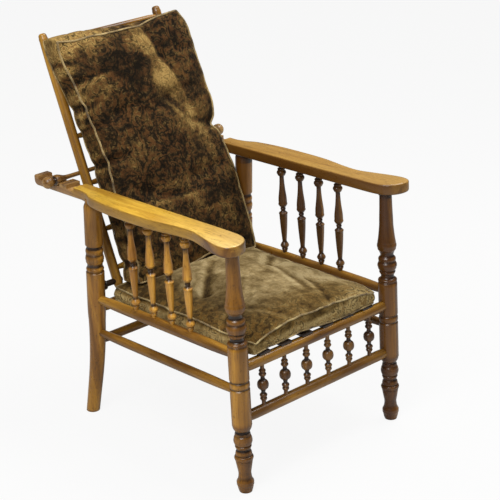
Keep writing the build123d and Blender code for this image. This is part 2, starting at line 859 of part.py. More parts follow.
def all_pieces():
    """Every piece of the chair by its name, laid out square."""
    pieces = {}
    for name, side in (("left", -1), ("right", 1)):
        pieces[f"{name}_front_post"] = front_post(side)
        pieces[f"{name}_rear_post"] = rear_post(side)
        pieces[f"{name}_arm"] = arm(side)
        pieces[f"{name}_rack_block"] = rack_block(side)
        pieces[f"{name}_seat_rail"] = side_rail(side)
        line, width, end_width = side_lines(side)[1]
        pieces[f"{name}_stretcher"] = rail(line, width, end_width, long_taper)
        pieces[f"{name}_pivot_pin"] = pivot_pin(side)
        pieces[f"{name}_stile"] = stile(side)
        pieces[f"{name}_rod_end"] = rod_end(side)
        one = arm_spindle()
        for step, (x, y) in enumerate(spindle_places(side), 1):
            pieces[f"{name}_arm_spindle_{step}"] = Pos(x, y, 0) * one
    for name in front_lines:
        pieces[name] = front_rail(name)
    for name, (line, width, end_width) in rear_lines.items():
        pieces[name] = rail(line, width, end_width, short_taper)
    pieces["ball_spindles"] = ball_spindles()
    pieces["rack_screws"] = rack_screws()
    for step in range(slat_count):
        pieces[f"seat_slat_{step + 1}"] = seat_slat(step)
    heights = rung_heights()
    for step, height in enumerate(heights[:-1], 1):
        pieces[f"back_rung_{step}"] = rung(height)
    pieces["back_top_rail"] = rung(heights[-1])
    pieces["support_rod"] = support_rod()
    pieces["seat_cushion"] = seat_cushion()
    pieces["back_cushion"] = back_cushion()
    return pieces


def stood_up(pieces):
    """The pieces leaned back by the rake, with the posts cut level, over the middle of their footprint."""
    leaned = {}
    for name, piece in pieces.items():
        turned_back = Rot(-rake_angle, 0, 0) * piece
        if name.endswith("_post"):
            turned_back = split(turned_back, Plane.XY, keep=Keep.TOP)
        leaned[name] = turned_back
    reach = Compound([solid for piece in leaned.values() for solid in piece.solids()]).bounding_box()
    centre = reach.center()
    return {name: Pos(-centre.X, -centre.Y, 0) * piece for name, piece in leaned.items()}


chair = stood_up(all_pieces())
os.makedirs("parts", exist_ok=True)
for name, piece in chair.items():
    export_step(piece, f"parts/{name}.step")

whole = Compound([solid for piece in chair.values() for solid in piece.solids()]).bounding_box()
print("size", whole.size, "back lean", round(back_lean, 2), "turn to upright", round(upright_turn, 2))
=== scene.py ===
"""A reclining armchair with turned posts and loose velvet cushions, dressed over its frame, in metres."""

import json
from math import asin, atan2, ceil, cos, exp, hypot, pi, radians, sin, tau

import bpy
import numpy as np
from mathutils import Matrix, Vector, noise


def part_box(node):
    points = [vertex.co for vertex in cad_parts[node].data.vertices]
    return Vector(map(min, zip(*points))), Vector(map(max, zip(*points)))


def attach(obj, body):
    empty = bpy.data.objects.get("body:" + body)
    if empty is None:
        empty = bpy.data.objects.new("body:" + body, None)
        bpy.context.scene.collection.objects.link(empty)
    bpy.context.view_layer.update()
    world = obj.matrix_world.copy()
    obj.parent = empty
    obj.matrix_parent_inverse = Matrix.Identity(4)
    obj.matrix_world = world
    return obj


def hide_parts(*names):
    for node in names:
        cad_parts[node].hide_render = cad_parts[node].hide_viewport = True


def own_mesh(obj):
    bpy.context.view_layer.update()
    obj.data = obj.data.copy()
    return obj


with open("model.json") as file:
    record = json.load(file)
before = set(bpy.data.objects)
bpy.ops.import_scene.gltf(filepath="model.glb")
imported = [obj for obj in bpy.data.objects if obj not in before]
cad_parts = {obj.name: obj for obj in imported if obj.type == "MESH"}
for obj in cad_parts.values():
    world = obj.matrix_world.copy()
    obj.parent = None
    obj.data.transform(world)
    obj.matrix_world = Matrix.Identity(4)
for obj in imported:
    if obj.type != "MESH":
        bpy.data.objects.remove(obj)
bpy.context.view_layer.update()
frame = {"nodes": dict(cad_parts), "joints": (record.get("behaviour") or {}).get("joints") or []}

# The chair's own square layout, and the two ways in which its pieces lean in the world
rake = radians(2.0)
seat_rail_height = 0.3275
rail_low, rail_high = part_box("front_seat_rail")
footprint_shift = (rail_low.y + rail_high.y) / 2 - seat_rail_height * sin(rake)
standing = Matrix.Translation((0, footprint_shift, 0)) @ Matrix.Rotation(-rake, 4, "X")
joints = {joint["name"]: joint for joint in frame["joints"]}
pivot = Vector(joints["back_recline"]["pos_m"])
lift_axis = joints["rod_lift"]["axis"]
whole_lean = atan2(lift_axis[1], lift_axis[2])
leaning = Matrix.Translation(pivot) @ Matrix.Rotation(-whole_lean, 4, "X")

# The chair's two sides: which way X goes there, and the word for it in names
two_sides = ((-1, "left"), (1, "right"))

# Sizes of the turned frame, as the solids have them
half_spacing = 0.262
post_depth = 0.5527
arm_underside = 0.634
bend_height = 0.300
bend_radius = 1.030
upper_lean = radians(4.4)
leg_splay = radians(14.6)

# How many sides a turning has, from the thickest to the thinnest
post_sides = 48
rod_sides = 36
spindle_sides = 32
slim_sides = 24

# A length or a share too small to matter
hair = 0.001


def deselected():
    """Nothing selected, in object mode."""
    if bpy.context.object and bpy.context.object.mode != "OBJECT":
        bpy.ops.object.mode_set(mode="OBJECT")
    bpy.ops.object.select_all(action="DESELECT")


def chosen(obj):
    """Only this object selected and active."""
    deselected()
    obj.select_set(True)
    bpy.context.view_layer.objects.active = obj


def enter_edit():
    """Edit mode with the whole active mesh selected."""
    bpy.ops.object.mode_set(mode="EDIT")
    bpy.ops.mesh.select_all(action="SELECT")


def leave_edit():
    """Back to object mode."""
    bpy.ops.object.mode_set(mode="OBJECT")


def face_outward():
    """All faces of the mesh in edit mode turned outward."""
    bpy.ops.mesh.select_all(action="SELECT")
    bpy.ops.mesh.normals_make_consistent(inside=False)


def laid(obj, matrix):
    """The object's shape moved by a matrix, with the object itself left at the origin."""
    obj.data.transform(matrix @ obj.matrix_world)
    obj.matrix_world = Matrix.Identity(4)
    if matrix.determinant() < 0:
        obj.data.flip_normals()


def finished(obj, name, body, material, slot, *nodes):
    """A piece under its name, on its body, with its material and the nodes that it stands for."""
    obj.name = name
    obj.data.name = name
    obj.data.materials.clear()
    obj.data.materials.append(material)
    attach(obj, body)
    if nodes:
        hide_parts(*nodes)
    return obj


def copied(obj):
    """A second piece with its own mesh."""
    twin = obj.copy()
    twin.data = obj.data.copy()
    bpy.context.scene.collection.objects.link(twin)
    return twin


def eased(share):
    """A smooth step from 0 to 1."""
    share = max(0.0, min(1.0, share))
    return share * share * (3 - 2 * share)


def ramp(value, start, end):
    """A smooth step from 0 at one value to 1 at another."""
    return eased((value - start) / (end - start))


def peak(value, centre, width):
    """A soft peak of height 1 at a value."""
    return exp(-(((value - centre) / width) ** 2))


def painted(obj, name, value):
    """A value by its name on each point, from the point's place."""
    values = [value(*vertex.co) for vertex in obj.data.vertices]
    attribute = obj.data.attributes.new(name, "FLOAT", "POINT")
    attribute.data.foreach_set("value", values)


# Materials: small helpers, then the woods, the steel and the cloths
def new_material(name):
    """A material with its node tree and its principled shader."""
    material = bpy.data.materials.new(name)
    material.use_nodes = True
    nodes = material.node_tree.nodes
    return material, material.node_tree, nodes["Principled BSDF"]


def link(tree, source, target):
    """One wire between two sockets."""
    tree.links.new(source, target)


def object_place(tree, stretch=(1, 1, 1), turn=(0, 0, 0)):
    """Object coordinates, turned first and then stretched along the turned axes."""
    coordinates = tree.nodes.new("ShaderNodeTexCoord")
    turning_node = tree.nodes.new("ShaderNodeMapping")
    turning_node.inputs["Rotation"].default_value = turn
    stretching_node = tree.nodes.new("ShaderNodeMapping")
    stretching_node.inputs["Scale"].default_value = stretch
    link(tree, coordinates.outputs["Object"], turning_node.inputs["Vector"])
    link(tree, turning_node.outputs["Vector"], stretching_node.inputs["Vector"])
    return stretching_node.outputs["Vector"]


def cloudy(tree, place, scale, detail=4, roughness=0.55, distortion=0):
    """A noise pattern's value."""
    texture = tree.nodes.new("ShaderNodeTexNoise")
    texture.inputs["Scale"].default_value = scale
    texture.inputs["Detail"].default_value = detail
    texture.inputs["Roughness"].default_value = roughness
    texture.inputs["Distortion"].default_value = distortion
    link(tree, place, texture.inputs["Vector"])
    return texture.outputs["Fac"]


def toned(tree, value, stops, tones):
    """A value turned into a colour, with a tone at each of its stops."""
    node = tree.nodes.new("ShaderNodeValToRGB")
    elements = node.color_ramp.elements
    while len(elements) < len(tones):
        elements.new(0.5)
    for element, stop, tone in zip(elements, stops, tones):
        element.position = stop
        element.color = (*tone, 1)
    link(tree, value, node.inputs["Fac"])
    return node.outputs["Color"]


def ranged(tree, value, low, high, to_low=0.0, to_high=1.0):
    """A value carried from one range to another, clamped."""
    node = tree.nodes.new("ShaderNodeMapRange")
    node.inputs["From Min"].default_value = low
    node.inputs["From Max"].default_value = high
    node.inputs["To Min"].default_value = to_low
    node.inputs["To Max"].default_value = to_high
    link(tree, value, node.inputs["Value"])
    return node.outputs["Result"]


def fed(tree, socket, source):
    """A socket fed by another socket, or set to a number or a colour."""
    if hasattr(source, "is_output"):
        link(tree, source, socket)
    elif isinstance(source, (int, float)):
        socket.default_value = source
    else:
        socket.default_value = (*source, 1)


# Where a Mix node keeps its share, its two colours and its colour result
mix_share, mix_first, mix_second, mix_result = 0, 6, 7, 2


def mixed(tree, share, first, second, blend="MIX"):
    """Two colours mixed by a share."""
    node = tree.nodes.new("ShaderNodeMix")
    node.data_type = "RGBA"
    node.blend_type = blend
    for index, source in ((mix_share, share), (mix_first, first), (mix_second, second)):
        fed(tree, node.inputs[index], source)
    return node.outputs[mix_result]


def shaded(tree, colour, tone, value, low, high, most=1.0):
    """A colour that goes over to a tone as a value goes from low to high, up to a greatest share."""
    return mixed(tree, ranged(tree, value, low, high, 0, most), colour, tone)


def computed(tree, operation, first, second):
    """The result of an operation on two values."""
    node = tree.nodes.new("ShaderNodeMath")
    node.operation = operation
    fed(tree, node.inputs[0], first)
    fed(tree, node.inputs[1], second)
    return node.outputs[0]


def multiplied(tree, first, second):
    """The product of two values."""
    return computed(tree, "MULTIPLY", first, second)


def added(tree, first, second):
    """The sum of two values."""
    return computed(tree, "ADD", first, second)


def parted(tree, place):
    """The X, Y and Z of a place."""
    node = tree.nodes.new("ShaderNodeSeparateXYZ")
    link(tree, place, node.inputs["Vector"])
    return node.outputs


def facing(tree):
    """The X, Y and Z of the way a surface faces."""
    geometry = tree.nodes.new("ShaderNodeNewGeometry")
    return parted(tree, geometry.outputs["Normal"])


def attribute_value(tree, name):
    """A value stored on the piece's points."""
    node = tree.nodes.new("ShaderNodeAttribute")
    node.attribute_name = name
    return node.outputs["Fac"]


def embossed(tree, shader, height, distance, strength=1.0):
    """A bump under the shader's normal."""
    bump = tree.nodes.new("ShaderNodeBump")
    bump.inputs["Distance"].default_value = distance
    bump.inputs["Strength"].default_value = strength
    link(tree, height, bump.inputs["Height"])
    link(tree, bump.outputs["Normal"], shader.inputs["Normal"])


# The arms' finish: bleached in front, darker from the middle backward and stained from the rack backward
top_stops = (0.3, 0.5, 0.7)
bleach_start, bleach_end = -0.1, -0.42
darkening_start, darkening_end = -0.005, 0.055
rack_stain_place = Vector((0, 0.588, 0.65))
rack_stain_start = (standing @ rack_stain_place).y
rack_stain_end = rack_stain_start + 0.02
rack_stain_tones = ((0.12, 0.05, 0.013), (0.28, 0.14, 0.042), (0.46, 0.26, 0.09))
old_finish = (0.42, 0.33, 0.27)


def arm_colour(tree, flat, figure, broad, colour, tones, top):
    """An arm's colour: paler tones above, painted shade below and stained ones behind."""
    top_tones, bleached, darker_behind = top
    along = parted(tree, flat)["Y"]
    upward = facing(tree)["Z"]
    above = toned(tree, figure, top_stops, top_tones)
    above = shaded(tree, above, bleached, along, bleach_start, bleach_end, 0.75)
    above = mixed(tree, ranged(tree, along, darkening_start, darkening_end), above, darker_behind, "MULTIPLY")
    colour = shaded(tree, colour, above, upward, 0.55, 0.85)
    # Painted shade on the arm's underside
    colour = shaded(tree, colour, tones[0], upward, -0.3, -0.7, 0.6)
    colour = shaded(tree, colour, top_tones[1], broad, 0.4, 0.7, 0.55)
    stained = toned(tree, figure, top_stops, rack_stain_tones)
    return shaded(tree, colour, stained, along, rack_stain_start, rack_stain_end)


def wood(name, turn, tones, dark, grooved=True, top=None):
    """Stained wood whose grain runs along Z once its place is turned; dark stain stays in the grooves, and
    what faces the chair's middle gets painted shade.
    """
    material, tree, shader = new_material(name)
    flat = object_place(tree)
    # The figure, the fibre and the broad clouds are drawn out along the grain
    figure = cloudy(tree, object_place(tree, (1, 1, 0.07), turn), 34, 3, 0.55, 0.8)
    fibre = cloudy(tree, object_place(tree, (1, 1, 0.04), turn), 520, 3, 0.6)
    broad = cloudy(tree, object_place(tree, (1, 1, 0.35), turn), 8, 3, 0.55)
    scuffs = cloudy(tree, flat, 70, 5, 0.7)
    marks = cloudy(tree, object_place(tree, (1, 1, 0.5), turn), 190, 2, 0.5)
    colour = toned(tree, figure, (0.36, 0.5, 0.66), tones)
    if top:
        colour = arm_colour(tree, flat, figure, broad, colour, tones, top)
    else:
        colour = shaded(tree, colour, tones[2], broad, 0.4, 0.7, 0.55)
    colour = shaded(tree, colour, tones[0], fibre, 0.5, 0.68, 0.5)
    colour = shaded(tree, colour, dark, scuffs, 0.6, 0.74, 0.6)
    colour = shaded(tree, colour, dark, marks, 0.7, 0.76, 0.75)
    if grooved:
        ragged = added(tree, attribute_value(tree, "groove"), ranged(tree, scuffs, 0.3, 0.7, -0.12, 0.16))
        colour = shaded(tree, colour, dark, ragged, 0.16, 0.62, 0.95)
    # Painted shade: what faces the chair's middle is darker
    outward = multiplied(tree, facing(tree)["X"], parted(tree, flat)["X"])
    colour = shaded(tree, colour, tones[0], outward, 0.02, -0.2, 0.85)
    colour = mixed(tree, attribute_value(tree, "stain"), colour, old_finish, "MULTIPLY")
    link(tree, colour, shader.inputs["Base Color"])
    gloss = ranged(tree, cloudy(tree, flat, 40, 3, 0.6), 0.3, 0.7, 0.25, 0.42)
    link(tree, gloss, shader.inputs["Roughness"])
    shader.inputs["Specular IOR Level"].default_value = 0.38
    shader.inputs["Coat Weight"].default_value = 0.22
    shader.inputs["Coat Roughness"].default_value = 0.14
    embossed(tree, shader, added(tree, fibre, multiplied(tree, scuffs, 0.6)), 0.0002)
    return material


upright = (0, 0, 0)
across = (0, pi / 2, 0)
front_to_back = (pi / 2, 0, 0)
post_tones = ((0.088, 0.03, 0.003), (0.265, 0.111, 0.011), (0.49, 0.235, 0.026))
spindle_tones = ((0.14, 0.052, 0.006), (0.39, 0.17, 0.022), (0.68, 0.35, 0.05))
# The right arm's spindles take much darker tones than the left arm's, as painted shade on their inward sides;
# the ball spindles take the same dark tones
dark_spindle_tones = ((0.045, 0.017, 0.004), (0.12, 0.05, 0.011), (0.26, 0.125, 0.028))
rail_tones = ((0.08, 0.029, 0.004), (0.215, 0.094, 0.01), (0.45, 0.228, 0.027))
rod_tones = ((0.12, 0.052, 0.012), (0.3, 0.155, 0.042), (0.52, 0.31, 0.1))
arm_side_tones = ((0.09, 0.033, 0.005), (0.21, 0.09, 0.011), (0.38, 0.19, 0.028))
left_top_tones = ((0.44, 0.21, 0.02), (0.68, 0.4, 0.045), (0.74, 0.46, 0.065))
right_top_tones = ((0.26, 0.12, 0.02), (0.4, 0.21, 0.036), (0.5, 0.29, 0.06))
# The slats' near-black tones are painted shade, for they lie in the cushion's shadow; the hinge pins share
# their wood
slat_shade_tones = ((0.012, 0.008, 0.006), (0.025, 0.016, 0.011), (0.05, 0.03, 0.02))
groove_stain = (0.014, 0.006, 0.003)
post_wood = wood("post_wood", upright, post_tones, groove_stain)
spindle_wood = wood("spindle_wood", upright, spindle_tones, groove_stain)
dark_spindle_wood = wood("dark_spindle_wood", upright, dark_spindle_tones, groove_stain)
cross_rail_wood = wood("cross_rail_wood", across, rail_tones, groove_stain)
side_rail_wood = wood("side_rail_wood", front_to_back, rail_tones, groove_stain)
stile_wood = wood("stile_wood", (whole_lean, 0, 0), rail_tones, groove_stain)
arm_stain = (0.07, 0.027, 0.006)
# An arm's top: its tones, the tone that it bleaches to in front, and the tint that darkens it from the middle
# backward
left_top = (left_top_tones, (0.76, 0.53, 0.2), (0.72, 0.7, 0.62))
right_top = (right_top_tones, (0.46, 0.28, 0.08), (1, 1, 1))
left_arm_wood = wood("left_arm_wood", front_to_back, arm_side_tones, arm_stain, False, left_top)
right_arm_wood = wood("right_arm_wood", front_to_back, arm_side_tones, arm_stain, False, right_top)
rod_wood = wood("rod_wood", across, rod_tones, groove_stain)
block_wood = wood("block_wood", across, rod_tones, groove_stain, False)
slat_wood = wood("slat_wood", front_to_back, slat_shade_tones, groove_stain, False)


def steel(name):
    """Old blackened steel of a wood screw."""
    material, tree, shader = new_material(name)
    rust = cloudy(tree, object_place(tree), 700, 4, 0.6)
    colour = toned(tree, rust, (0.35, 0.65), ((0.05, 0.04, 0.035), (0.16, 0.1, 0.06)))
    link(tree, colour, shader.inputs["Base Color"])
    shader.inputs["Metallic"].default_value = 0.7
    shader.inputs["Roughness"].default_value = 0.55
    return material


screw_steel = steel("screw_steel")


def wandering(tree, place, scale, reach):
    """A place moved about by a noise, by up to a reach."""
    texture = tree.nodes.new("ShaderNodeTexNoise")
    texture.inputs["Scale"].default_value = scale
    texture.inputs["Detail"].default_value = 3
    link(tree, place, texture.inputs["Vector"])
    move = tree.nodes.new("ShaderNodeVectorMath")
    move.operation = "MULTIPLY_ADD"
    link(tree, texture.outputs["Color"], move.inputs[0])
    move.inputs[1].default_value = (reach, reach, reach)
    link(tree, place, move.inputs[2])
    return move.outputs["Vector"]


def cell_reach(tree, place, scale):
    """How far a place lies from the middle of its cell."""
    texture = tree.nodes.new("ShaderNodeTexVoronoi")
    texture.inputs["Scale"].default_value = scale
    texture.inputs["Randomness"].default_value = 0.45
    link(tree, place, texture.inputs["Vector"])
    return texture.outputs["Distance"]


# The figure's rings: how far apart they lie, and where a gold thread runs between two of them
ring_pitch = 0.085
thread_place = 0.035


def ringed(tree, place, colour, shown, broken, dark, ruddy, gold):
    """A figure of broken rings: ruddy petals, dark outlines and a gold thread beside each outline."""
    reach = cell_reach(tree, wandering(tree, place, 13, 0.075), 8)
    reach = added(tree, reach, multiplied(tree, cloudy(tree, place, 26, 3, 0.5, 1.2), 0.7))
    rings = computed(tree, "PINGPONG", reach, ring_pitch)
    petals = multiplied(tree, ranged(tree, rings, 0.04, 0.06), ranged(tree, broken, 0.38, 0.54))
    colour = mixed(tree, multiplied(tree, petals, multiplied(tree, shown, 0.8)), colour, ruddy)
    outlines = multiplied(tree, ranged(tree, rings, 0.03, 0.008), shown)
    colour = mixed(tree, multiplied(tree, outlines, 0.8), colour, dark)
    beside = computed(tree, "ABSOLUTE", computed(tree, "SUBTRACT", rings, thread_place), 0)
    threads = multiplied(tree, ranged(tree, beside, 0.008, 0.002), ranged(tree, broken, 0.47, 0.6))
    return mixed(tree, multiplied(tree, threads, multiplied(tree, shown, 0.6)), colour, gold)


def velvet(name, tones, ruddy, gold, cast, turn, patch_scale, contrast):
    """Worn velvet: brushed nap over a dim figure of rings, pale where it is rubbed, with painted shade in the
    folds and creases.

    The cast tints it where its figure shows.
    """
    material, tree, shader = new_material(name)
    place = object_place(tree, (1, 1, 1), turn)
    patches = cloudy(tree, place, patch_scale, 6, 0.62, 0.4)
    fine = cloudy(tree, place, patch_scale * 5, 6, 0.75, 0.3)
    brushed = cloudy(tree, object_place(tree, (1, 1, 0.4), turn), patch_scale * 9, 5, 0.7, 0.2)
    nap = added(tree, multiplied(tree, patches, 0.54), multiplied(tree, fine, 0.3))
    nap = added(tree, nap, multiplied(tree, brushed, 0.16))
    nap = ranged(tree, nap, 0.5 - contrast, 0.5 + contrast)
    nap = added(tree, nap, ranged(tree, attribute_value(tree, "tone"), 0, 1, -0.7, 0.7))
    # The wear value pales rubbed ridges and paints shade into creases
    nap = added(tree, nap, ranged(tree, attribute_value(tree, "wear_and_shade"), 0, 1, -0.3, 0.3))
    colour = toned(tree, nap, (0.08, 0.42, 0.7, 1.0), tones)
    figure = attribute_value(tree, "figure")
    shown = multiplied(tree, figure, ranged(tree, patches, 0.38, 0.52, 0.25, 1))
    colour = ringed(tree, place, colour, shown, fine, tones[0], ruddy, gold)
    flecks = cloudy(tree, place, 240, 4, 0.8)
    pale_flecks = ranged(tree, flecks, 0.55, 0.7, 0, 0.45)
    colour = mixed(tree, multiplied(tree, pale_flecks, ranged(tree, nap, 0.15, 0.6, 0.35, 1)), colour, gold)
    colour = shaded(tree, colour, tones[0], flecks, 0.47, 0.3, 0.6)
    colour = mixed(tree, figure, colour, cast, "MULTIPLY")
    link(tree, colour, shader.inputs["Base Color"])
    shader.inputs["Roughness"].default_value = 0.95
    shader.inputs["Specular IOR Level"].default_value = 0.1
    shader.inputs["Sheen Weight"].default_value = 0.12
    shader.inputs["Sheen Roughness"].default_value = 0.4
    shader.inputs["Sheen Tint"].default_value = (*gold, 1)
    crush = cloudy(tree, place, 38, 6, 0.68, 0.5)
    embossed(tree, shader, added(tree, multiplied(tree, flecks, 0.2), crush), 0.0045, 0.9)
    return material


back_velvet = velvet(
    "back_velvet",
    tones=((0.006, 0.004, 0.002), (0.028, 0.017, 0.007), (0.125, 0.074, 0.022), (0.38, 0.242, 0.076)),
    ruddy=(0.1, 0.041, 0.012),
    gold=(0.22, 0.135, 0.042),
    cast=(1, 1, 1),
    turn=(whole_lean, 0, 0),
    patch_scale=13,
    contrast=0.12,
)
seat_velvet = velvet(
    "seat_velvet",
    tones=((0.035, 0.021, 0.008), (0.12, 0.079, 0.03), (0.26, 0.19, 0.088), (0.46, 0.36, 0.19)),
    ruddy=(0.15, 0.082, 0.022),
    gold=(0.36, 0.24, 0.075),
    cast=(1.0, 0.93, 0.74),
    turn=front_to_back,
    patch_scale=9,
    contrast=0.14,
)


def cord_cloth(name, tones):
    """The woven cloth of the piping, soiled here and there."""
    material, tree, shader = new_material(name)
    place = object_place(tree)
    soil = cloudy(tree, place, 28, 4, 0.6)
    weave = cloudy(tree, place, 1500, 2, 0.5)
    link(tree, toned(tree, soil, (0.35, 0.5, 0.68), tones), shader.inputs["Base Color"])
    shader.inputs["Roughness"].default_value = 0.85
    shader.inputs["Sheen Weight"].default_value = 0.2
    embossed(tree, shader, weave, 0.0005)
    return material


piping_tones = ((0.07, 0.04, 0.013), (0.27, 0.185, 0.065), (0.54, 0.42, 0.18))
soiled_piping_tones = ((0.05, 0.03, 0.011), (0.22, 0.145, 0.048), (0.5, 0.36, 0.145))
piping_cloth = cord_cloth("piping_cloth", piping_tones)
soiled_piping_cloth = cord_cloth("soiled_piping_cloth", soiled_piping_tones)


# Turned pieces: an outline of rows, drawn as a chain of points and spun about its axis.
# A row is a height, a width and the bulge of the stretch below it.
widest_arc_step = radians(16)


def outline_points(rows):
    """Height and radius along an outline of rows."""
    points = [(rows[0][0], rows[0][1] / 2)]
    for (below, wide_below, _), (above, wide_above, bulge) in zip(rows, rows[1:]):
        inner, outer = wide_below / 2, wide_above / 2
        run = hypot(outer - inner, above - below)
        steps = 1
        if bulge:
            radius = (run**2 / 4 + bulge**2) / (2 * abs(bulge))
            half_turn = asin(min(run / (2 * radius), 1))
            steps = max(3, ceil(half_turn * 2 / widest_arc_step))
        for step in range(1, steps):
            turn = half_turn * (2 * step / steps - 1)
            forward = radius * sin(turn)
            outward = (radius * cos(turn) - radius + abs(bulge)) * (1 if bulge > 0 else -1)
            share = 0.5 + forward / run
            points.append(
                (
                    below + share * (above - below) - outward * (outer - inner) / run,
                    inner + share * (outer - inner) + outward * (above - below) / run,
                )
            )
        points.append((above, outer))
    return points


# A groove: how far around a height is looked at, how deep is full, and how much a lone shoulder counts
groove_window = 0.008
groove_full = 0.0028
shoulder_share = 0.45


def groove_share(points, height):
    """How deep the outline lies under its neighbourhood at a height, from 0 to 1.

    A place under a shoulder on one side only counts too, but not near the outline's ends.
    """
    heights = [point[0] for point in points]
    radii = [point[1] for point in points]
    near_end = min(height - heights[0], heights[-1] - height) < groove_window
    shoulder = 0 if near_end else shoulder_share
    total = 0
    weights = 0
    for offset in (-1.0, -0.5, 0, 0.5, 1.0):
        level = height + offset * groove_window / 2
        here = np.interp(level, heights, radii)
        below = max(np.interp([level - groove_window, level - groove_window / 2], heights, radii))
        above = max(np.interp([level + groove_window, level + groove_window / 2], heights, radii))
        rise = min(below, above) + shoulder * abs(above - below) - here
        weight = exp(-offset * offset)
        total += weight * max(0.0, min(1.0, rise / groove_full))
        weights += weight
    return total / weights


def spaced(points):
    """The outline with more points near the ends of its long plain stretches."""
    filled = [points[0]]
    for (below, inner), (above, outer) in zip(points, points[1:]):
        run = above - below
        if run > groove_window * 3:
            for share in (groove_window / run, 1 - groove_window / run):
                filled.append((below + share * run, inner + share * (outer - inner)))
        filled.append((above, outer))
    return filled


merge_distance = 0.00002
crisp_angle = radians(38)


def turning(rows, sides=post_sides):
    """A closed turning about +Z with a value for its grooves on every point."""
    points = spaced(outline_points(rows))
    deselected()
    bpy.ops.mesh.primitive_plane_add(size=0.01, location=(0, 0, 0))
    obj = bpy.context.object
    enter_edit()
    bpy.ops.mesh.merge(type="CENTER")
    spot = Vector((0, 0, points[0][0]))
    bpy.ops.transform.translate(value=spot)
    chain = [(radius, height) for height, radius in points] + [(0, points[-1][0])]
    for radius, height in chain:
        goal = Vector((radius, 0, height))
        bpy.ops.mesh.extrude_region_move(TRANSFORM_OT_translate={"value": goal - spot})
        spot = goal
    bpy.ops.mesh.select_all(action="SELECT")
    bpy.ops.mesh.spin(steps=sides, angle=tau, center=(0, 0, 0), axis=(0, 0, 1))
    bpy.ops.mesh.select_all(action="SELECT")
    bpy.ops.mesh.remove_doubles(threshold=merge_distance)
    face_outward()
    leave_edit()
    groove = obj.data.attributes.new("groove", "FLOAT", "POINT")
    known = {}
    for vertex in obj.data.vertices:
        level = round(vertex.co.z, 5)
        if level not in known:
            known[level] = groove_share(points, level)
        groove.data[vertex.index].value = known[level]
    chosen(obj)
    bpy.ops.object.shade_smooth_by_angle(angle=crisp_angle)
    return obj


def painted_shadow_band(obj, low, high):
    """Painted shadow: a turning's groove value set full between two heights, so that it is black there."""
    groove = obj.data.attributes["groove"]
    for vertex in obj.data.vertices:
        if low <= vertex.co.z <= high:
            groove.data[vertex.index].value = 1


def between(start, end):
    """The matrix that carries +Z from the origin onto the line from start to end."""
    way = Vector(end) - Vector(start)
    return Matrix.Translation(start) @ way.to_track_quat("Z", "X").to_matrix().to_4x4()


def cut_at_floor(obj):
    """The piece's foot cut level with the floor and closed."""
    chosen(obj)
    enter_edit()
    bpy.ops.mesh.bisect(plane_co=(0, 0, 0), plane_no=(0, 0, 1), use_fill=True, clear_inner=True)
    leave_edit()


front_post_rows = [
    (-0.012, 0.0320, 0),
    (0.000, 0.0320, 0),
    (0.017, 0.0404, 0.0005),
    (0.023, 0.0425, 0.0008),
    (0.030, 0.0415, 0.0008),
    (0.045, 0.0325, -0.0012),
    (0.057, 0.0333, -0.0006),
    (0.070, 0.0380, 0),
    (0.084, 0.0425, 0),
    (0.086, 0.0410, 0),
    (0.089, 0.0445, 0.0010),
    (0.098, 0.0440, 0.0018),
    (0.099, 0.0385, 0),
    (0.106, 0.0400, 0.0012),
    (0.112, 0.0365, 0.0006),
    (0.117, 0.0330, -0.0005),
    (0.122, 0.0390, 0.0010),
    (0.126, 0.0385, 0.0012),
    (0.127, 0.0370, 0),
    (0.133, 0.0440, 0.0008),
    (0.146, 0.0445, 0.0014),
    (0.152, 0.0395, 0.0008),
    (0.153, 0.0370, 0),
    (0.158, 0.0380, 0.0010),
    (0.163, 0.0345, 0.0006),
    (0.166, 0.0370, -0.0005),
    (0.179, 0.0480, 0.0012),
    (0.183, 0.0495, 0.0004),
    (0.2760, 0.0495, 0),
    (0.2785, 0.0450, 0),
    (0.2810, 0.0450, 0),
    (0.2835, 0.0490, 0.0004),
    (0.2940, 0.0490, 0.0004),
    (0.2965, 0.0450, 0),
    (0.2990, 0.0450, 0),
    (0.3015, 0.0495, 0),
    (0.387, 0.0495, 0),
    (0.390, 0.0450, 0),
    (0.393, 0.0470, 0.0010),
    (0.399, 0.0465, 0.0012),
    (0.401, 0.0410, 0),
    (0.407, 0.0335, -0.0010),
    (0.412, 0.0345, 0),
    (0.416, 0.0400, 0.0006),
    (0.421, 0.0400, 0.0010),
    (0.423, 0.0395, 0),
    (0.431, 0.0475, 0.0010),
    (0.443, 0.0470, 0.0016),
    (0.447, 0.0420, 0),
    (0.450, 0.0435, 0.0008),
    (0.458, 0.0425, 0.0012),
    (0.460, 0.0385, 0),
    (0.468, 0.0350, -0.0012),
    (0.477, 0.0413, 0),
    (0.4845, 0.0475, 0.0012),
    (0.4975, 0.0470, 0.0016),
    (0.505, 0.0450, 0.0004),
    (0.519, 0.0414, 0),
    (0.533, 0.0386, 0),
    (0.560, 0.0357, -0.0004),
    (0.588, 0.0336, 0),
    (0.625, 0.0318, 0),
    (0.627, 0.0365, 0),
    (0.634, 0.0365, 0),
]

rear_upper_rows = [
    (-0.330, 0.0330, 0),
    (-0.300, 0.0355, 0),
    (-0.187, 0.0380, 0),
    (-0.093, 0.0410, 0),
    (0.000, 0.0448, 0),
    (0.041, 0.0480, 0.0004),
    (0.140, 0.0480, 0),
    (0.143, 0.0415, 0),
    (0.146, 0.0440, 0.0010),
    (0.154, 0.0440, 0.0012),
    (0.156, 0.0410, 0),
    (0.163, 0.0408, -0.0004),
    (0.168, 0.0420, 0),
    (0.172, 0.0455, 0.0012),
    (0.188, 0.0455, 0.0016),
    (0.191, 0.0420, 0),
    (0.194, 0.0440, 0.0010),
    (0.206, 0.0440, 0.0014),
    (0.209, 0.0405, 0),
    (0.215, 0.0400, 0),
    (0.2185, 0.0472, 0.0008),
    (0.309, 0.0472, 0),
    (0.3115, 0.0472, 0),
    (0.322, 0.0472, 0),
    (0.334, 0.0390, 0.0006),
    (0.345, 0.0390, 0),
]

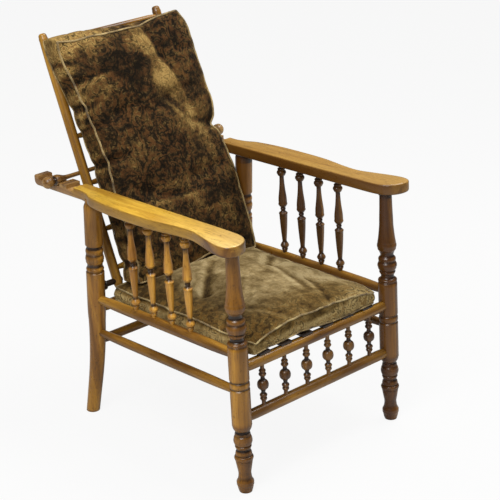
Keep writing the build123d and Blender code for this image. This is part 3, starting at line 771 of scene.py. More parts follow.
arm_spindle_rows = [
    (0.3740, 0.0106, 0),
    (0.3800, 0.0110, 0),
    (0.3845, 0.0150, 0.0006),
    (0.3890, 0.0150, 0.0010),
    (0.3905, 0.0118, 0),
    (0.3930, 0.0195, 0.0010),
    (0.4020, 0.0200, 0.0018),
    (0.4065, 0.0145, 0.0003),
    (0.4120, 0.0120, -0.0005),
    (0.4880, 0.0222, 0.0006),
    (0.4925, 0.0218, 0.0010),
    (0.4960, 0.0140, 0),
    (0.4990, 0.0118, -0.0003),
    (0.5020, 0.0135, 0.0003),
    (0.5050, 0.0135, 0.0006),
    (0.5075, 0.0125, 0),
    (0.5140, 0.0222, 0.0003),
    (0.5200, 0.0230, 0.0010),
    (0.5450, 0.0200, 0.0006),
    (0.5890, 0.0122, -0.0006),
    (0.5960, 0.0125, 0),
    (0.6020, 0.0220, 0.0010),
    (0.6110, 0.0222, 0.0018),
    (0.6125, 0.0165, 0),
    (0.6140, 0.0190, 0.0006),
    (0.6185, 0.0188, 0.0009),
    (0.6200, 0.0130, 0),
    (0.6350, 0.0120, 0),
]

ball_spindle_rows = [
    (0.2080, 0.0110, 0),
    (0.2150, 0.0104, 0),
    (0.2190, 0.0108, 0),
    (0.2210, 0.0150, 0.0007),
    (0.2265, 0.0150, 0.0012),
    (0.2280, 0.0122, 0),
    (0.2300, 0.0165, 0.0008),
    (0.2365, 0.0162, 0.0014),
    (0.2385, 0.0115, 0),
    (0.2430, 0.0108, -0.0004),
    (0.2475, 0.0130, 0),
    (0.2480, 0.0145, 0),
    (0.2595, 0.0284, 0.0020),
    (0.2625, 0.0284, 0.0002),
    (0.2740, 0.0145, 0.0020),
    (0.2745, 0.0130, 0),
    (0.2790, 0.0108, 0),
    (0.2835, 0.0115, -0.0004),
    (0.2855, 0.0162, 0.0003),
    (0.2920, 0.0165, 0.0014),
    (0.2940, 0.0122, 0),
    (0.2955, 0.0150, 0.0007),
    (0.3010, 0.0150, 0.0012),
    (0.3030, 0.0108, 0),
    (0.3070, 0.0104, 0),
    (0.3140, 0.0110, 0),
]

# A front post's neck under its arm, black with painted shadow, and the heights below and above which it keeps
# its old finish
neck_shadow = (0.624, arm_underside)
old_finish_below, old_finish_above = 0.19, 0.385
old_finish_fade = 0.01
old_finish_share = 0.72


def post_stain(x, y, z):
    """How much of its old dark finish a front post has left: most of it below and above its plain length."""
    foot = ramp(z, old_finish_below, old_finish_below - old_finish_fade)
    baluster = ramp(z, old_finish_above, old_finish_above + old_finish_fade)
    return old_finish_share * max(foot, baluster)


for side, name in two_sides:
    post = turning(front_post_rows)
    painted_shadow_band(post, *neck_shadow)
    laid(post, standing @ Matrix.Translation((side * half_spacing, 0, 0)))
    cut_at_floor(post)
    painted(post, "stain", post_stain)
    finished(post, f"{name}_front_leg", "frame", post_wood, "turned_wood", f"{name}_front_post")


def bent_leg(vertex):
    """A point of the straight rear post carried onto the curve of the leg below the bend."""
    if vertex.z >= 0:
        return Vector((vertex.x, vertex.y, vertex.z))
    turn = min(-vertex.z / bend_radius, leg_splay - upper_lean)
    rest = -vertex.z - turn * bend_radius
    out = bend_radius - vertex.y
    y = bend_radius - out * cos(turn) + rest * sin(turn)
    z = -out * sin(turn) - rest * cos(turn)
    return Vector((vertex.x, y, z))


leg_step = 0.012
# The right rear post's shoulder under its arm, black with painted shadow
shoulder_shadow = (0.311, 0.345)

# The leg's stretches are split into short steps, so that they can bend
long_rows = [rear_upper_rows[0]]
for (below, wide_below, _), (above, wide_above, bulge) in zip(rear_upper_rows, rear_upper_rows[1:]):
    steps = max(1, round((above - below) / leg_step)) if above <= 0 else 1
    for step in range(1, steps + 1):
        share = step / steps
        wide = wide_below + (wide_above - wide_below) * share
        long_rows.append((below + (above - below) * share, wide, bulge))

for side, name in two_sides:
    post = turning(long_rows)
    if side > 0:
        painted_shadow_band(post, *shoulder_shadow)
    for vertex in post.data.vertices:
        vertex.co = bent_leg(vertex.co)
    bend_place = Matrix.Translation((side * half_spacing, post_depth, bend_height))
    laid(post, standing @ bend_place @ Matrix.Rotation(upper_lean, 4, "X"))
    cut_at_floor(post)
    finished(post, f"{name}_rear_leg", "frame", post_wood, "turned_wood", f"{name}_rear_post")

spindle_count = 4
first_spindle = 0.169
spindle_pitch = 0.0703
spindle_turn = radians(47)
spindle = turning(arm_spindle_rows, spindle_sides)
for (side, name), material in zip(two_sides, (spindle_wood, dark_spindle_wood)):
    for step in range(spindle_count):
        one = copied(spindle)
        y = first_spindle + step * spindle_pitch
        turn = Matrix.Rotation(spindle_turn * (step + 1) * side, 4, "Z")
        laid(one, standing @ Matrix.Translation((side * half_spacing, y, 0)) @ turn)
        node = f"{name}_arm_spindle_{step + 1}"
        finished(one, f"{name}_turned_spindle_{step + 1}", "frame", material, "turned_wood", node)
bpy.data.objects.remove(spindle)

ball_count = 6
ball_pitch = 2 * half_spacing / (ball_count + 1)
ball = turning(ball_spindle_rows, spindle_sides)
for step in range(ball_count):
    one = copied(ball)
    laid(one, standing @ Matrix.Translation(((step - (ball_count - 1) / 2) * ball_pitch, 0, 0)))
    finished(one, f"ball_spindle_{step + 1}", "frame", dark_spindle_wood, "turned_wood")
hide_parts("ball_spindles")
bpy.data.objects.remove(ball)

# Rails: where they start inside a post, and how far they taper
rail_start = 0.012
short_taper = 0.034
long_taper = 0.115


def rail(name, start, end, width, end_width, taper, material, node):
    """A rail between two posts' centre lines, full in the middle and easing down to its ends."""
    way = (Vector(end) - Vector(start)).normalized()
    start, end = Vector(start) + way * rail_start, Vector(end) - way * rail_start
    length = (end - start).length
    ease = (width - end_width) / 8
    rows = [
        (0, end_width, 0),
        (taper, width, ease),
        (length - taper, width, 0),
        (length, end_width, ease),
    ]
    piece = turning(rows, spindle_sides)
    laid(piece, standing @ between(start, end))
    finished(piece, name, "frame", material, "turned_wood", node)


def rear_axis(height):
    """The rear post's centre line at a height below or above the bend."""
    if height >= bend_height:
        return post_depth - (height - bend_height) * sin(upper_lean) / cos(upper_lean)
    centre_z = bend_height + bend_radius * sin(upper_lean)
    turn = min(asin((centre_z - height) / bend_radius), leg_splay)
    return post_depth + bend_radius * (cos(upper_lean) - cos(turn))


def cross_rail(name, y, height, width, end_width, node):
    """A rail across the chair."""
    start, end = (-half_spacing, y, height), (half_spacing, y, height)
    rail(name, start, end, width, end_width, short_taper, cross_rail_wood, node)


def side_rail(name, side, height, width, end_width, node):
    """A rail from a front post to a rear one."""
    start = (side * half_spacing, 0, height)
    end = (side * half_spacing, rear_axis(height), height)
    rail(name, start, end, width, end_width, long_taper, side_rail_wood, node)


# Heights of the rails' centre lines, then their widths in the middle and at their ends
lower_rail_height = 0.1948
rear_rail_height = 0.333
rear_stretcher_height = 0.238
side_rail_height = 0.364
side_stretcher_height = 0.2675
rail_widths = (0.0285, 0.024)
lower_rail_widths = (0.0275, 0.022)
side_rail_widths = (0.028, 0.0225)
stretcher_widths = (0.024, 0.019)
rear_rail_y, rear_stretcher_y = rear_axis(rear_rail_height), rear_axis(rear_stretcher_height)
cross_rail("front_rail", 0, seat_rail_height, *rail_widths, "front_seat_rail")
cross_rail("front_lower_rail", 0, lower_rail_height, *lower_rail_widths, "lower_front_rail")
cross_rail("rear_rail", rear_rail_y, rear_rail_height, *rail_widths, "rear_seat_rail")
cross_rail("rear_lower_rail", rear_stretcher_y, rear_stretcher_height, *stretcher_widths, "rear_stretcher")
for side, name in two_sides:
    side_rail(f"{name}_side_rail", side, side_rail_height, *side_rail_widths, f"{name}_seat_rail")
    side_rail(f"{name}_side_stretcher", side, side_stretcher_height, *stretcher_widths, f"{name}_stretcher")

# The rod with its swellings and balls
rod_half_rows = [
    (0.2200, 0.0115, 0),
    (0.2380, 0.0130, -0.0002),
    (0.2490, 0.0180, -0.0004),
    (0.2600, 0.0262, 0.0003),
    (0.2680, 0.0286, 0.0006),
    (0.2735, 0.0260, 0.0008),
    (0.2750, 0.0195, 0),
    (0.2790, 0.0170, -0.0005),
    (0.2815, 0.0190, 0),
    (0.2860, 0.0268, 0.0008),
    (0.2950, 0.0310, 0.0012),
    (0.3035, 0.0262, 0.0013),
    (0.3080, 0.0140, 0.0010),
    (0.3092, 0.0020, 0.0003),
]
# The other half is the same outline read backward, where each bulge goes with the row before its own
bulges = [bulge for _, _, bulge in rod_half_rows[1:]] + [0]
mirrored_rows = [(-height, wide, bulge) for (height, wide, _), bulge in zip(rod_half_rows, bulges)][::-1]
rod_low, rod_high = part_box("support_rod")
rod = turning(mirrored_rows + rod_half_rows, rod_sides)
rod_centre = (rod_low + rod_high) / 2
laid(rod, Matrix.Translation(rod_centre) @ Matrix.Rotation(pi / 2, 4, "Y"))
rod_nodes = ("support_rod", "left_rod_end", "right_rod_end")
finished(rod, "notched_rod", "support_rod", rod_wood, "turned_wood", *rod_nodes)

# The back's ladder
stile_x = 0.191
stile_rows = [
    (-0.020, 0.0130, 0),
    (-0.014, 0.0220, 0.0016),
    (-0.004, 0.0260, 0.0008),
    (0.560, 0.0260, 0),
    (0.650, 0.0235, 0.0004),
    (0.661, 0.0215, 0.0008),
    (0.670, 0.0100, 0.0022),
]
for side, name in two_sides:
    piece = turning(stile_rows, rod_sides)
    laid(piece, leaning @ Matrix.Translation((side * stile_x, 0, 0)))
    finished(piece, f"{name}_back_stile", "back", stile_wood, "turned_wood", f"{name}_stile")


# A rung: its half length, its ends' width, where they stop being plain and where their taper ends
rung_reach = stile_x - 0.004
rung_end_width = 0.0125
rung_plain_end = 0.010
rung_taper_end = 0.030
rung_bulge = 0.0003


def rung(name, height, width, node):
    """One rung between the stiles."""
    rows = [
        (-rung_reach, rung_end_width, 0),
        (-rung_reach + rung_plain_end, rung_end_width, 0),
        (-rung_reach + rung_taper_end, width, rung_bulge),
        (rung_reach - rung_taper_end, width, 0),
        (rung_reach - rung_plain_end, rung_end_width, rung_bulge),
        (rung_reach, rung_end_width, 0),
    ]
    piece = turning(rows, slim_sides)
    laid(piece, leaning @ Matrix.Translation((0, 0, height)) @ Matrix.Rotation(pi / 2, 4, "Y"))
    finished(piece, name, "back", cross_rail_wood, "turned_wood", node)


low_rung, low_rung_width = 0.032, 0.017
top_rung, rung_width = 0.643, 0.0155
rung_count = 5
rung_pitch = 0.1263
rung("ladder_rung_1", low_rung, low_rung_width, "back_rung_1")
for number in range(2, rung_count + 1):
    height = top_rung - (rung_count + 1 - number) * rung_pitch
    rung(f"ladder_rung_{number}", height, rung_width, f"back_rung_{number}")
rung("ladder_top_rung", top_rung, rung_width, "back_top_rail")

pin_rows = [
    (0, 0.016, 0),
    (0.0163, 0.016, 0),
    (0.0163, 0.025, 0),
    (0.0193, 0.026, 0.0008),
    (0.0223, 0.025, 0.0008),
    (0.0223, 0.016, 0),
    (0.076, 0.016, 0),
]
for side, name in two_sides:
    low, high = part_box(f"{name}_pivot_pin")
    piece = turning(pin_rows, slim_sides)
    start = Vector((low.x if side < 0 else high.x, (low.y + high.y) / 2, (low.z + high.z) / 2))
    laid(piece, between(start, start - Vector((side, 0, 0))))
    finished(piece, f"{name}_hinge_pin", "frame", slat_wood, "dark_wood", f"{name}_pivot_pin")


def repainted(node, material):
    """A node of the frame that keeps its shape and gets its finish."""
    obj = frame["nodes"][node]
    if not obj.data.materials:
        obj.data.materials.append(material)
    for slot in obj.material_slots:
        slot.material = material


slat_count = 6
for _, name in two_sides:
    repainted(f"{name}_rack_block", block_wood)
for step in range(slat_count):
    repainted(f"seat_slat_{step + 1}", slat_wood)
repainted("rack_screws", screw_steel)


# Arms: the plan of one, from its inner rear corner around its outside and its tip
arm_rear = ((0.2280, 0.7617), (0.2730, 0.7617))
arm_curve = (
    (0.2730, 0.5600),
    (0.2790, 0.5310),
    (0.2930, 0.4930),
    (0.3030, 0.4000),
    (0.3020, 0.2600),
    (0.2890, 0.1650),
    (0.2865, 0.1150),
    (0.2960, 0.0720),
    (0.3075, 0.0300),
    (0.3140, -0.0020),
    (0.3145, -0.0220),
    (0.3090, -0.0370),
    (0.2970, -0.0455),
    (0.2820, -0.0475),
    (0.2650, -0.0440),
    (0.2500, -0.0350),
    (0.2380, -0.0200),
    (0.2310, 0.0000),
    (0.2285, 0.0240),
    (0.2280, 0.0500),
)
curve_steps = 6
arm_thickness = 0.028
arm_rear_radius = 0.014
arm_edge_width = 0.0046
rounded_angle = radians(40)
smooth_angle = radians(32)
rack_floor = 0.652
rack_front, rack_back = 0.58945, 0.7407
rod_seat_places = (0.6047, 0.6667)
rod_seat_height, rod_seat_radius = 0.6648, 0.0148
rod_seat_sides = 64
cutter_x = 0.27
cutter_length = 0.2
cutter_height = 0.04


def curved(points, steps):
    """Places along a smooth curve through points."""
    places = []
    ends = [points[0], *points, points[-1]]
    for before, start, end, after in zip(ends, ends[1:], ends[2:], ends[3:]):
        for step in range(steps):
            t = step / steps
            place = []
            for a, b, c, d in zip(before, start, end, after):
                bend = (2 * a - 5 * b + 4 * c - d) * t + (3 * b - a - 3 * c + d) * t * t
                place.append(b + t * ((c - a) + bend) / 2)
            places.append(tuple(place))
    return [*places, points[-1]]


def applied(obj, modifier):
    """A modifier made part of the mesh."""
    chosen(obj)
    bpy.ops.object.modifier_apply(modifier=modifier.name)


def carved(obj, cutter):
    """The piece without what it shares with a cutter, which is used up."""
    modifier = obj.modifiers.new("cut", "BOOLEAN")
    modifier.operation = "DIFFERENCE"
    modifier.solver = "EXACT"
    modifier.object = cutter
    applied(obj, modifier)
    bpy.data.objects.remove(cutter)


def arm_blank():
    """The right arm in the chair's square layout, rounded along its edges and notched for the rod."""
    outline = [*arm_rear, *curved(arm_curve, curve_steps)]
    deselected()
    bpy.ops.mesh.primitive_circle_add(vertices=len(outline), fill_type="NGON", location=(0, 0, 0))
    obj = bpy.context.object
    for vertex, (x, y) in zip(obj.data.vertices, outline):
        vertex.co = (x, y, arm_underside)
    enter_edit()
    bpy.ops.mesh.extrude_region_move(TRANSFORM_OT_translate={"value": (0, 0, arm_thickness)})
    face_outward()
    bpy.ops.mesh.select_all(action="DESELECT")
    leave_edit()
    for vertex in obj.data.vertices:
        vertex.select = vertex.co.y > arm_rear[0][1] - hair and vertex.co.z < arm_underside + hair
    bpy.ops.object.mode_set(mode="EDIT")
    bpy.ops.mesh.select_mode(type="VERT")
    bpy.ops.mesh.select_mode(type="EDGE")
    bpy.ops.mesh.bevel(offset=arm_rear_radius, segments=6)
    leave_edit()
    rounding = obj.modifiers.new("edges", "BEVEL")
    rounding.width = arm_edge_width
    rounding.segments = 4
    rounding.limit_method = "ANGLE"
    rounding.angle_limit = rounded_angle
    applied(obj, rounding)
    cutter_place = (cutter_x, (rack_front + rack_back) / 2, rack_floor + cutter_height / 2)
    bpy.ops.mesh.primitive_cube_add(size=1, location=cutter_place)
    cutter = bpy.context.object
    cutter.scale = (cutter_length, rack_back - rack_front, cutter_height)
    carved(obj, cutter)
    for y in rod_seat_places:
        bpy.ops.mesh.primitive_cylinder_add(
            vertices=rod_seat_sides,
            radius=rod_seat_radius,
            depth=cutter_length,
            location=(cutter_x, y, rod_seat_height),
            rotation=(0, pi / 2, 0),
        )
        carved(obj, bpy.context.object)
    chosen(obj)
    bpy.ops.object.shade_smooth_by_angle(angle=smooth_angle)
    return obj


arm = arm_blank()
for (side, name), material in zip(two_sides, (left_arm_wood, right_arm_wood)):
    piece = copied(arm)
    laid(piece, standing @ Matrix.Diagonal((side, 1, 1, 1)))
    finished(piece, f"{name}_shaped_arm", "frame", material, "turned_wood", f"{name}_arm")
bpy.data.objects.remove(arm)


# Cushions: a grid pulled into a box, shaped, blown up as cloth, then piped and sewn down.
# A point's unit place runs from 0 to 1 across the cushion, along it and up its thickness.
def at_base(w):
    """Whether a thickness share is the cushion's base."""
    return w < hair


def at_top(w):
    """Whether a thickness share is the cushion's top."""
    return w > 1 - hair


def at_side(unit):
    """Whether a unit place is on the cushion's boxing."""
    u, v, _ = unit
    return min(u, 1 - u, v, 1 - v) < hair


def ordered(mesh):
    """The mesh's faces put in the order of their points, since extruding leaves them in any order."""
    points = [point.co.copy() for point in mesh.vertices]
    faces = []
    for face in mesh.polygons:
        corners = list(face.vertices)
        start = corners.index(min(corners))
        faces.append(corners[start:] + corners[:start])
    mesh.clear_geometry()
    mesh.from_pydata(points, [], sorted(faces))


class Grid:
    """A boxed cushion's mesh with the unit place of each of its points and the loops of its seams."""

    def __init__(self, columns, rows, layers):
        deselected()
        bpy.ops.mesh.primitive_grid_add(
            x_subdivisions=columns, y_subdivisions=rows, size=1, location=(0, 0, 0)
        )
        self.obj = bpy.context.object
        enter_edit()
        for _ in range(layers):
            bpy.ops.mesh.extrude_region_move(TRANSFORM_OT_translate={"value": (0, 0, 1 / layers)})
        face_outward()
        leave_edit()
        ordered(self.obj.data)
        self.units = [(point.co.x + 0.5, point.co.y + 0.5, point.co.z) for point in self.obj.data.vertices]
        self.first_seam = self.seam(at_base)
        self.last_seam = self.seam(at_top)

    def seam(self, at_level):
        """The points around the cushion's edge at a level, in order."""
        edge = [index for index, unit in enumerate(self.units) if at_level(unit[2]) and at_side(unit)]
        return sorted(edge, key=self.way_round)

    def way_round(self, index):
        """How far around the edge a point is, from 0 to 4."""
        u, v, _ = self.units[index]
        if v < hair:
            return u
        if u > 1 - hair:
            return 1 + v
        if v > 1 - hair:
            return 3 - u
        return 4 - v

    def shape(self, place):
        """Each point moved to where a function of its unit place says."""
        for vertex, unit in zip(self.obj.data.vertices, self.units):
            vertex.co = place(*unit)


def points_of(obj):
    """The mesh's points as rows of an array."""
    found = np.empty(len(obj.data.vertices) * 3)
    obj.data.vertices.foreach_get("co", found)
    return found.reshape(-1, 3)


# The stuffing: how far any point may swell, how much too large the cloth is cut, and how hard it is filled
greatest_swell = 0.008
cloth_excess = 0.02
stuffing_pressure = 4.0
cloth_frames = 20
# The least distance that is told from none
no_distance = 1e-9


def puffed(obj, held):
    """The cushion blown up as cloth; held gives how firmly each point stays."""
    before = points_of(obj)
    group = obj.vertex_groups.new(name="held")
    for index, share in enumerate(held):
        if share > 0:
            group.add([index], share, "REPLACE")
    modifier = obj.modifiers.new("stuffing", "CLOTH")
    settings = modifier.settings
    settings.quality = 6
    settings.mass = 0.3
    settings.tension_stiffness = 12
    settings.compression_stiffness = 12
    settings.shear_stiffness = 6
    settings.bending_stiffness = 0.4
    settings.use_pressure = True
    settings.uniform_pressure_force = stuffing_pressure
    settings.shrink_min = -cloth_excess
    settings.vertex_group_mass = "held"
    settings.pin_stiffness = 1.0
    settings.effector_weights.gravity = 0
    modifier.collision_settings.use_collision = False
    modifier.point_cache.frame_start = 1
    modifier.point_cache.frame_end = cloth_frames
    for number in range(1, cloth_frames + 1):
        bpy.context.scene.frame_set(number)
    applied(obj, modifier)
    bpy.context.scene.frame_set(1)
    after = points_of(obj)
    moved = after - before
    far = np.maximum(np.linalg.norm(moved, axis=1, keepdims=True), no_distance)
    soft = greatest_swell * np.tanh(far / greatest_swell)
    after = before + moved * (soft / far)
    obj.data.vertices.foreach_set("co", after.reshape(-1))
    obj.data.update()
    obj.vertex_groups.clear()


def neighbours_mean(obj, values, rounds):
    """Values on the points, averaged over their neighbours a number of times."""
    count = len(obj.data.vertices)
    ends = np.empty(len(obj.data.edges) * 2, dtype=np.int64)
    obj.data.edges.foreach_get("vertices", ends)
    ends = ends.reshape(-1, 2)
    degree = np.bincount(ends.reshape(-1), minlength=count)[:, None]
    for _ in range(rounds):
        total = np.zeros_like(values)
        for column in range(values.shape[1]):
            total[:, column] = np.bincount(ends[:, 0], values[ends[:, 1], column], count)
            total[:, column] += np.bincount(ends[:, 1], values[ends[:, 0], column], count)
        values = total / np.maximum(degree, 1)
    return values


# Wear and painted crease shade: how many rounds of neighbours it looks at, and how far a full ridge stands
# out from them
wear_and_shade_rounds = 14
wear_and_shade_depth = 0.0035


def worn_and_shaded_by_shape(obj):
    """A value on each point: over a half on ridges that get rubbed, and under a half in creases, which is
    painted shade.
    """
    places = points_of(obj)
    smooth = neighbours_mean(obj, places, wear_and_shade_rounds)
    normals = np.empty(len(places) * 3)
    obj.data.vertices.foreach_get("normal", normals)
    height = ((places - smooth) * normals.reshape(-1, 3)).sum(axis=1)
    wear_and_shade = np.clip(0.5 + height / (2 * wear_and_shade_depth), 0, 1)
    attribute = obj.data.attributes.new("wear_and_shade", "FLOAT", "POINT")
    attribute.data.foreach_set("value", wear_and_shade.astype(np.float32))


# How far a cord stands out of its seam, as a share of its width, and how often it wavers
piping_stand_share = 0.38
waver_scale = 24


def piping(name, obj, seam, body, cloth, width, stray):
    """A piped cord sewn along a seam's points, with the slight waver of a hand-guided foot."""
    curve = bpy.data.curves.new(name, "CURVE")
    curve.dimensions = "3D"
    spline = curve.splines.new("NURBS")
    places = [obj.data.vertices[index] for index in seam]
    spline.points.add(len(places) - 1)
    for point, vertex in zip(spline.points, places):
        waver = noise.noise_vector(vertex.co * waver_scale) * stray
        point.co = (*(vertex.co + vertex.normal * width * piping_stand_share + waver), 1)
    spline.order_u = 3
    spline.use_cyclic_u = True
    curve.bevel_depth = width / 2
    curve.bevel_resolution = 3
    curve.resolution_u = 2
    piece = bpy.data.objects.new(name, curve)
    bpy.context.scene.collection.objects.link(piece)
    chosen(piece)
    bpy.ops.object.convert(target="MESH")
    bpy.ops.object.shade_smooth()
    return finished(bpy.context.object, name, body, cloth, "velvet")


def refined(obj):
    """One round of subdivision, applied, and smooth shading."""
    modifier = obj.modifiers.new("round", "SUBSURF")
    modifier.levels = 1
    modifier.render_levels = 1
    applied(obj, modifier)
    bpy.ops.object.shade_smooth()


def bump_at(x, y, centre, reach):
    """A soft round hill of height 1 at a place."""
    return exp(-((x - centre[0]) ** 2 + (y - centre[1]) ** 2) / (2 * reach**2))


# How a crown falls off, how widely stations are eased, how far a fold fades, how strongly its painted
# shade and highlight show, and how firmly a seam stays
crown_power = 2.9
station_reach = 0.015
fold_fade = 0.6
fold_light_contrast = 0.26
seam_hold = 0.5


def full_crown(across):
    """How full a cushion's crown is, from 1 in the middle to 0 at an edge, for a place from -1 to 1."""
    return 1 - abs(across) ** crown_power


def at_station(stations, share, column):
    """A column of a cushion's stations at a share of its length, with its corners eased."""
    shares = [row[0] for row in stations]
    values = [row[column] for row in stations]
    near = [share + offset * station_reach for offset in (-2, -1, 0, 1, 2)]
    return float(np.mean(np.interp(near, shares, values)))


def traced(trace, place):
    """The value of a trace of pairs at a place."""
    return float(np.interp(place, *zip(*trace)))


def fold_at(x, y, start, end, width):
    """How close a place is to a fold from start to end, from 1 on it to 0, fading towards its end."""
    way = (end[0] - start[0], end[1] - start[1])
    length = hypot(*way)
    share = ((x - start[0]) * way[0] + (y - start[1]) * way[1]) / length**2
    share = max(0.0, min(1.0, share))
    gap = hypot(x - start[0] - share * way[0], y - start[1] - share * way[1])
    return peak(gap, 0, width) * (1 - fold_fade * share)


def fold_light_and_shade(x, y, folds, aside, width):
    """Painted light beside folds: painted shade in them and a painted highlight on the ridge beside them."""
    valley = max(fold_at(x, y, start, end, width) for start, end in folds)
    ridge = max(fold_at(x - aside[0], y - aside[1], start, end, width) for start, end in folds)
    return fold_light_contrast * (ridge - valley)


def hold(unit, place, tufts, sewn_reach):
    """How firmly a cushion's point stays: its base and its tufts are held, its upper seam nearly so."""
    if at_base(unit[2]):
        return 1.0
    if at_top(unit[2]):
        if any(hypot(place[0] - x, place[1] - y) < sewn_reach for x, y in tufts):
            return 1.0
        if at_side(unit):
            return seam_hold
    return 0.0


def upholstered(grid, held, tone, figure, place):
    """A shaped cushion filled, rounded, given its wear with painted shade in its creases, and laid in its
    place.
    """
    puffed(grid.obj, held)
    refined(grid.obj)
    worn_and_shaded_by_shape(grid.obj)
    painted(grid.obj, "tone", tone)
    painted(grid.obj, "figure", figure)
    laid(grid.obj, place)


# Seat cushion, in the chair's square layout: stations of a depth share, a width share and a crown share
seat_stations = (
    (0.0, 0.93, 0.45),
    (0.07, 0.985, 0.7),
    (0.3, 0.97, 0.95),
    (0.55, 0.965, 1.05),
    (0.7, 0.97, 1.15),
    (0.79, 0.97, 1.05),
    (0.84, 0.975, 0.55),
    (0.88, 0.98, 0.2),
    (1.0, 0.95, 0.06),
)
seat_width = 0.446
seat_depth = 0.530
seat_front = -0.005
seat_low = 0.3482
seat_rise = 0.0053
seat_boxing = 0.031
seat_crown = 0.038
seat_seam_share = 0.965
# Where the seat is sewn down, and its folds with a start and an end
seat_tufts = ((0.120, 0.296), (0.130, 0.156), (-0.123, 0.270), (-0.125, 0.156))
seat_folds = (
    ((0.120, 0.296), (0.055, 0.080)),
    ((0.130, 0.156), (0.195, 0.030)),
    ((0.130, 0.156), (0.060, 0.020)),
    ((0.120, 0.296), (0.205, 0.360)),
    ((-0.123, 0.270), (-0.205, 0.300)),
    ((-0.125, 0.156), (-0.205, 0.110)),
    ((-0.125, 0.156), (-0.080, 0.010)),
    ((-0.123, 0.270), (0.000, 0.380)),
)
# The waves of the front's lower and upper edge: a place across and a height
seat_hem = (
    (-0.210, 0.003),
    (-0.162, 0.007),
    (-0.111, 0.008),
    (-0.060, 0.012),
    (-0.026, 0.009),
    (0.044, 0.002),
    (0.098, 0.000),
    (0.153, 0.001),
    (0.210, 0.003),
)
seat_front_lift = (
    (-0.210, -0.003),
    (-0.142, 0.004),
    (-0.092, 0.007),
    (-0.057, 0.006),
    (0.011, 0.000),
    (0.210, -0.002),
)
seat_front_share = 0.12
seat_tuft_depth, seat_tuft_reach, seat_tuft_sewn = 0.012, 0.016, 0.007
seat_fold_depth, seat_fold_width = 0.0075, 0.012
seat_side_waver, seat_front_waver, seat_top_waver = 0.0025, 0.003, 0.0035
seat_left_tuck = 0.012
seat_cells = (72, 86, 5)


def seat_place(u, v, w):
    """A point of the seat cushion before it is filled."""
    half = at_station(seat_stations, v, 1) * seat_width / 2
    across = 2 * u - 1
    y = seat_front + v * seat_depth
    x = across * half * (seat_seam_share + (1 - seat_seam_share) * 4 * w * (1 - w))
    x += seat_side_waver * noise.noise(Vector((across * 2, y * 22, w))) * abs(across)
    x -= seat_left_tuck * eased(-across) ** 6 * (1 - 0.5 * w)
    z = seat_low + seat_rise * v + w * seat_boxing
    near_front = eased(1 - v / seat_front_share)
    z += (1 - w) * traced(seat_hem, x) * near_front
    lift = at_station(seat_stations, v, 2) * seat_crown * full_crown(across)
    lift += traced(seat_front_lift, x) * near_front
    z += lift * w**3
    y += seat_front_waver * noise.noise(Vector((x * 45, w * 3, 5))) * near_front
    if at_top(w):
        dent = sum(seat_tuft_depth * bump_at(x, y, tuft, seat_tuft_reach) for tuft in seat_tufts)
        crease = sum(seat_fold_depth * fold_at(x, y, *fold, seat_fold_width) for fold in seat_folds)
        z -= dent + crease
        z += seat_top_waver * noise.noise(Vector((x * 11, y * 9, 3)))
    return Vector((x, y, z))


# The heights between which the seat's top goes over to its sides
seat_side_top, seat_side_low = 0.384, 0.369


def seat_tone(x, y, z):
    """The seat's nap, over a half where it is pale: rubbed in the middle, darker at the left and in front,
    with painted shade in its folds and tufts and a painted highlight beside its folds.
    """
    rubbed = 0.1 * bump_at(x, y, (0.02, 0.2), 0.08) + 0.12 * bump_at(x, y, (0.14, 0.22), 0.09)
    pale_corner = 0.26 * ramp(x, 0.1, 0.18) * ramp(y, 0.2, 0.08)
    pale_rear = 0.08 * ramp(y, 0.3, 0.4)
    dark_left = 0.27 * ramp(x, -0.08, -0.17)
    dark_front = 0.06 * ramp(y, 0.1, -0.02) * ramp(x, 0.12, 0.04)
    # Painted shade in the dimples of the tufts
    tuft_shade = sum(0.25 * bump_at(x, y, tuft, 0.007) for tuft in seat_tufts)
    fold_shading = fold_light_and_shade(x, y, seat_folds, (-0.012, 0.008), 0.011)
    side_share = ramp(z, seat_side_top, seat_side_low)
    tone = 0.52 + rubbed + pale_corner + pale_rear - dark_left - dark_front
    return tone + 0.5 * side_share + (1 - side_share) * (fold_shading - tuft_shade)


def seat_figure(x, y, z):
    """How much of the seat's figure shows: little on its rubbed top, more at the front and on its sides."""
    return 0.2 + 0.8 * max(ramp(y, 0.13, 0.03), ramp(z, seat_side_top, seat_side_low), ramp(x, -0.14, -0.2))


seat = Grid(*seat_cells)
seat.shape(seat_place)
held = [
    hold(unit, (point.co.x, point.co.y), seat_tufts, seat_tuft_sewn)
    for unit, point in zip(seat.units, seat.obj.data.vertices)
]
upholstered(seat, held, seat_tone, seat_figure, standing)
top_piping = piping(
    "seat_top_piping", seat.obj, seat.last_seam, "frame", piping_cloth, width=0.0046, stray=0.0014
)
piping("seat_low_piping", seat.obj, seat.first_seam, "frame", soiled_piping_cloth, width=0.0042, stray=0.0006)
finished(seat.obj, "seat_pad", "frame", seat_velvet, "velvet", "seat_cushion")
for piece in (seat.obj, top_piping):
    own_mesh(piece)

# Back cushion, laid out as it leans, with x across, s up the stiles and its thickness forward:
# stations of a height share, a left and a right edge and a crown share
back_stations = (
    (0.0, -0.1898, 0.2219, 0.2),
    (0.06, -0.1822, 0.2319, 0.6),
    (0.24, -0.1772, 0.2319, 0.95),
    (0.4, -0.1790, 0.2255, 1.0),
    (0.5, -0.1772, 0.2120, 1.0),
    (0.6, -0.1822, 0.2228, 1.0),
    (0.77, -0.1980, 0.2170, 0.9),
    (0.93, -0.2170, 0.2161, 0.55),
    (1.0, -0.2129, 0.1900, 0.2),
)
back_bottom = -0.008
back_height = 0.648
back_rear_gap = 0.01605
back_boxing = 0.068
back_crown = 0.024
back_rear_crown = 0.008
back_rear_share = 0.95
back_seam_share = 0.975
# Where the back is sewn down
back_tufts = ((-0.085, 0.200), (0.085, 0.200), (-0.095, 0.420), (0.069, 0.420))
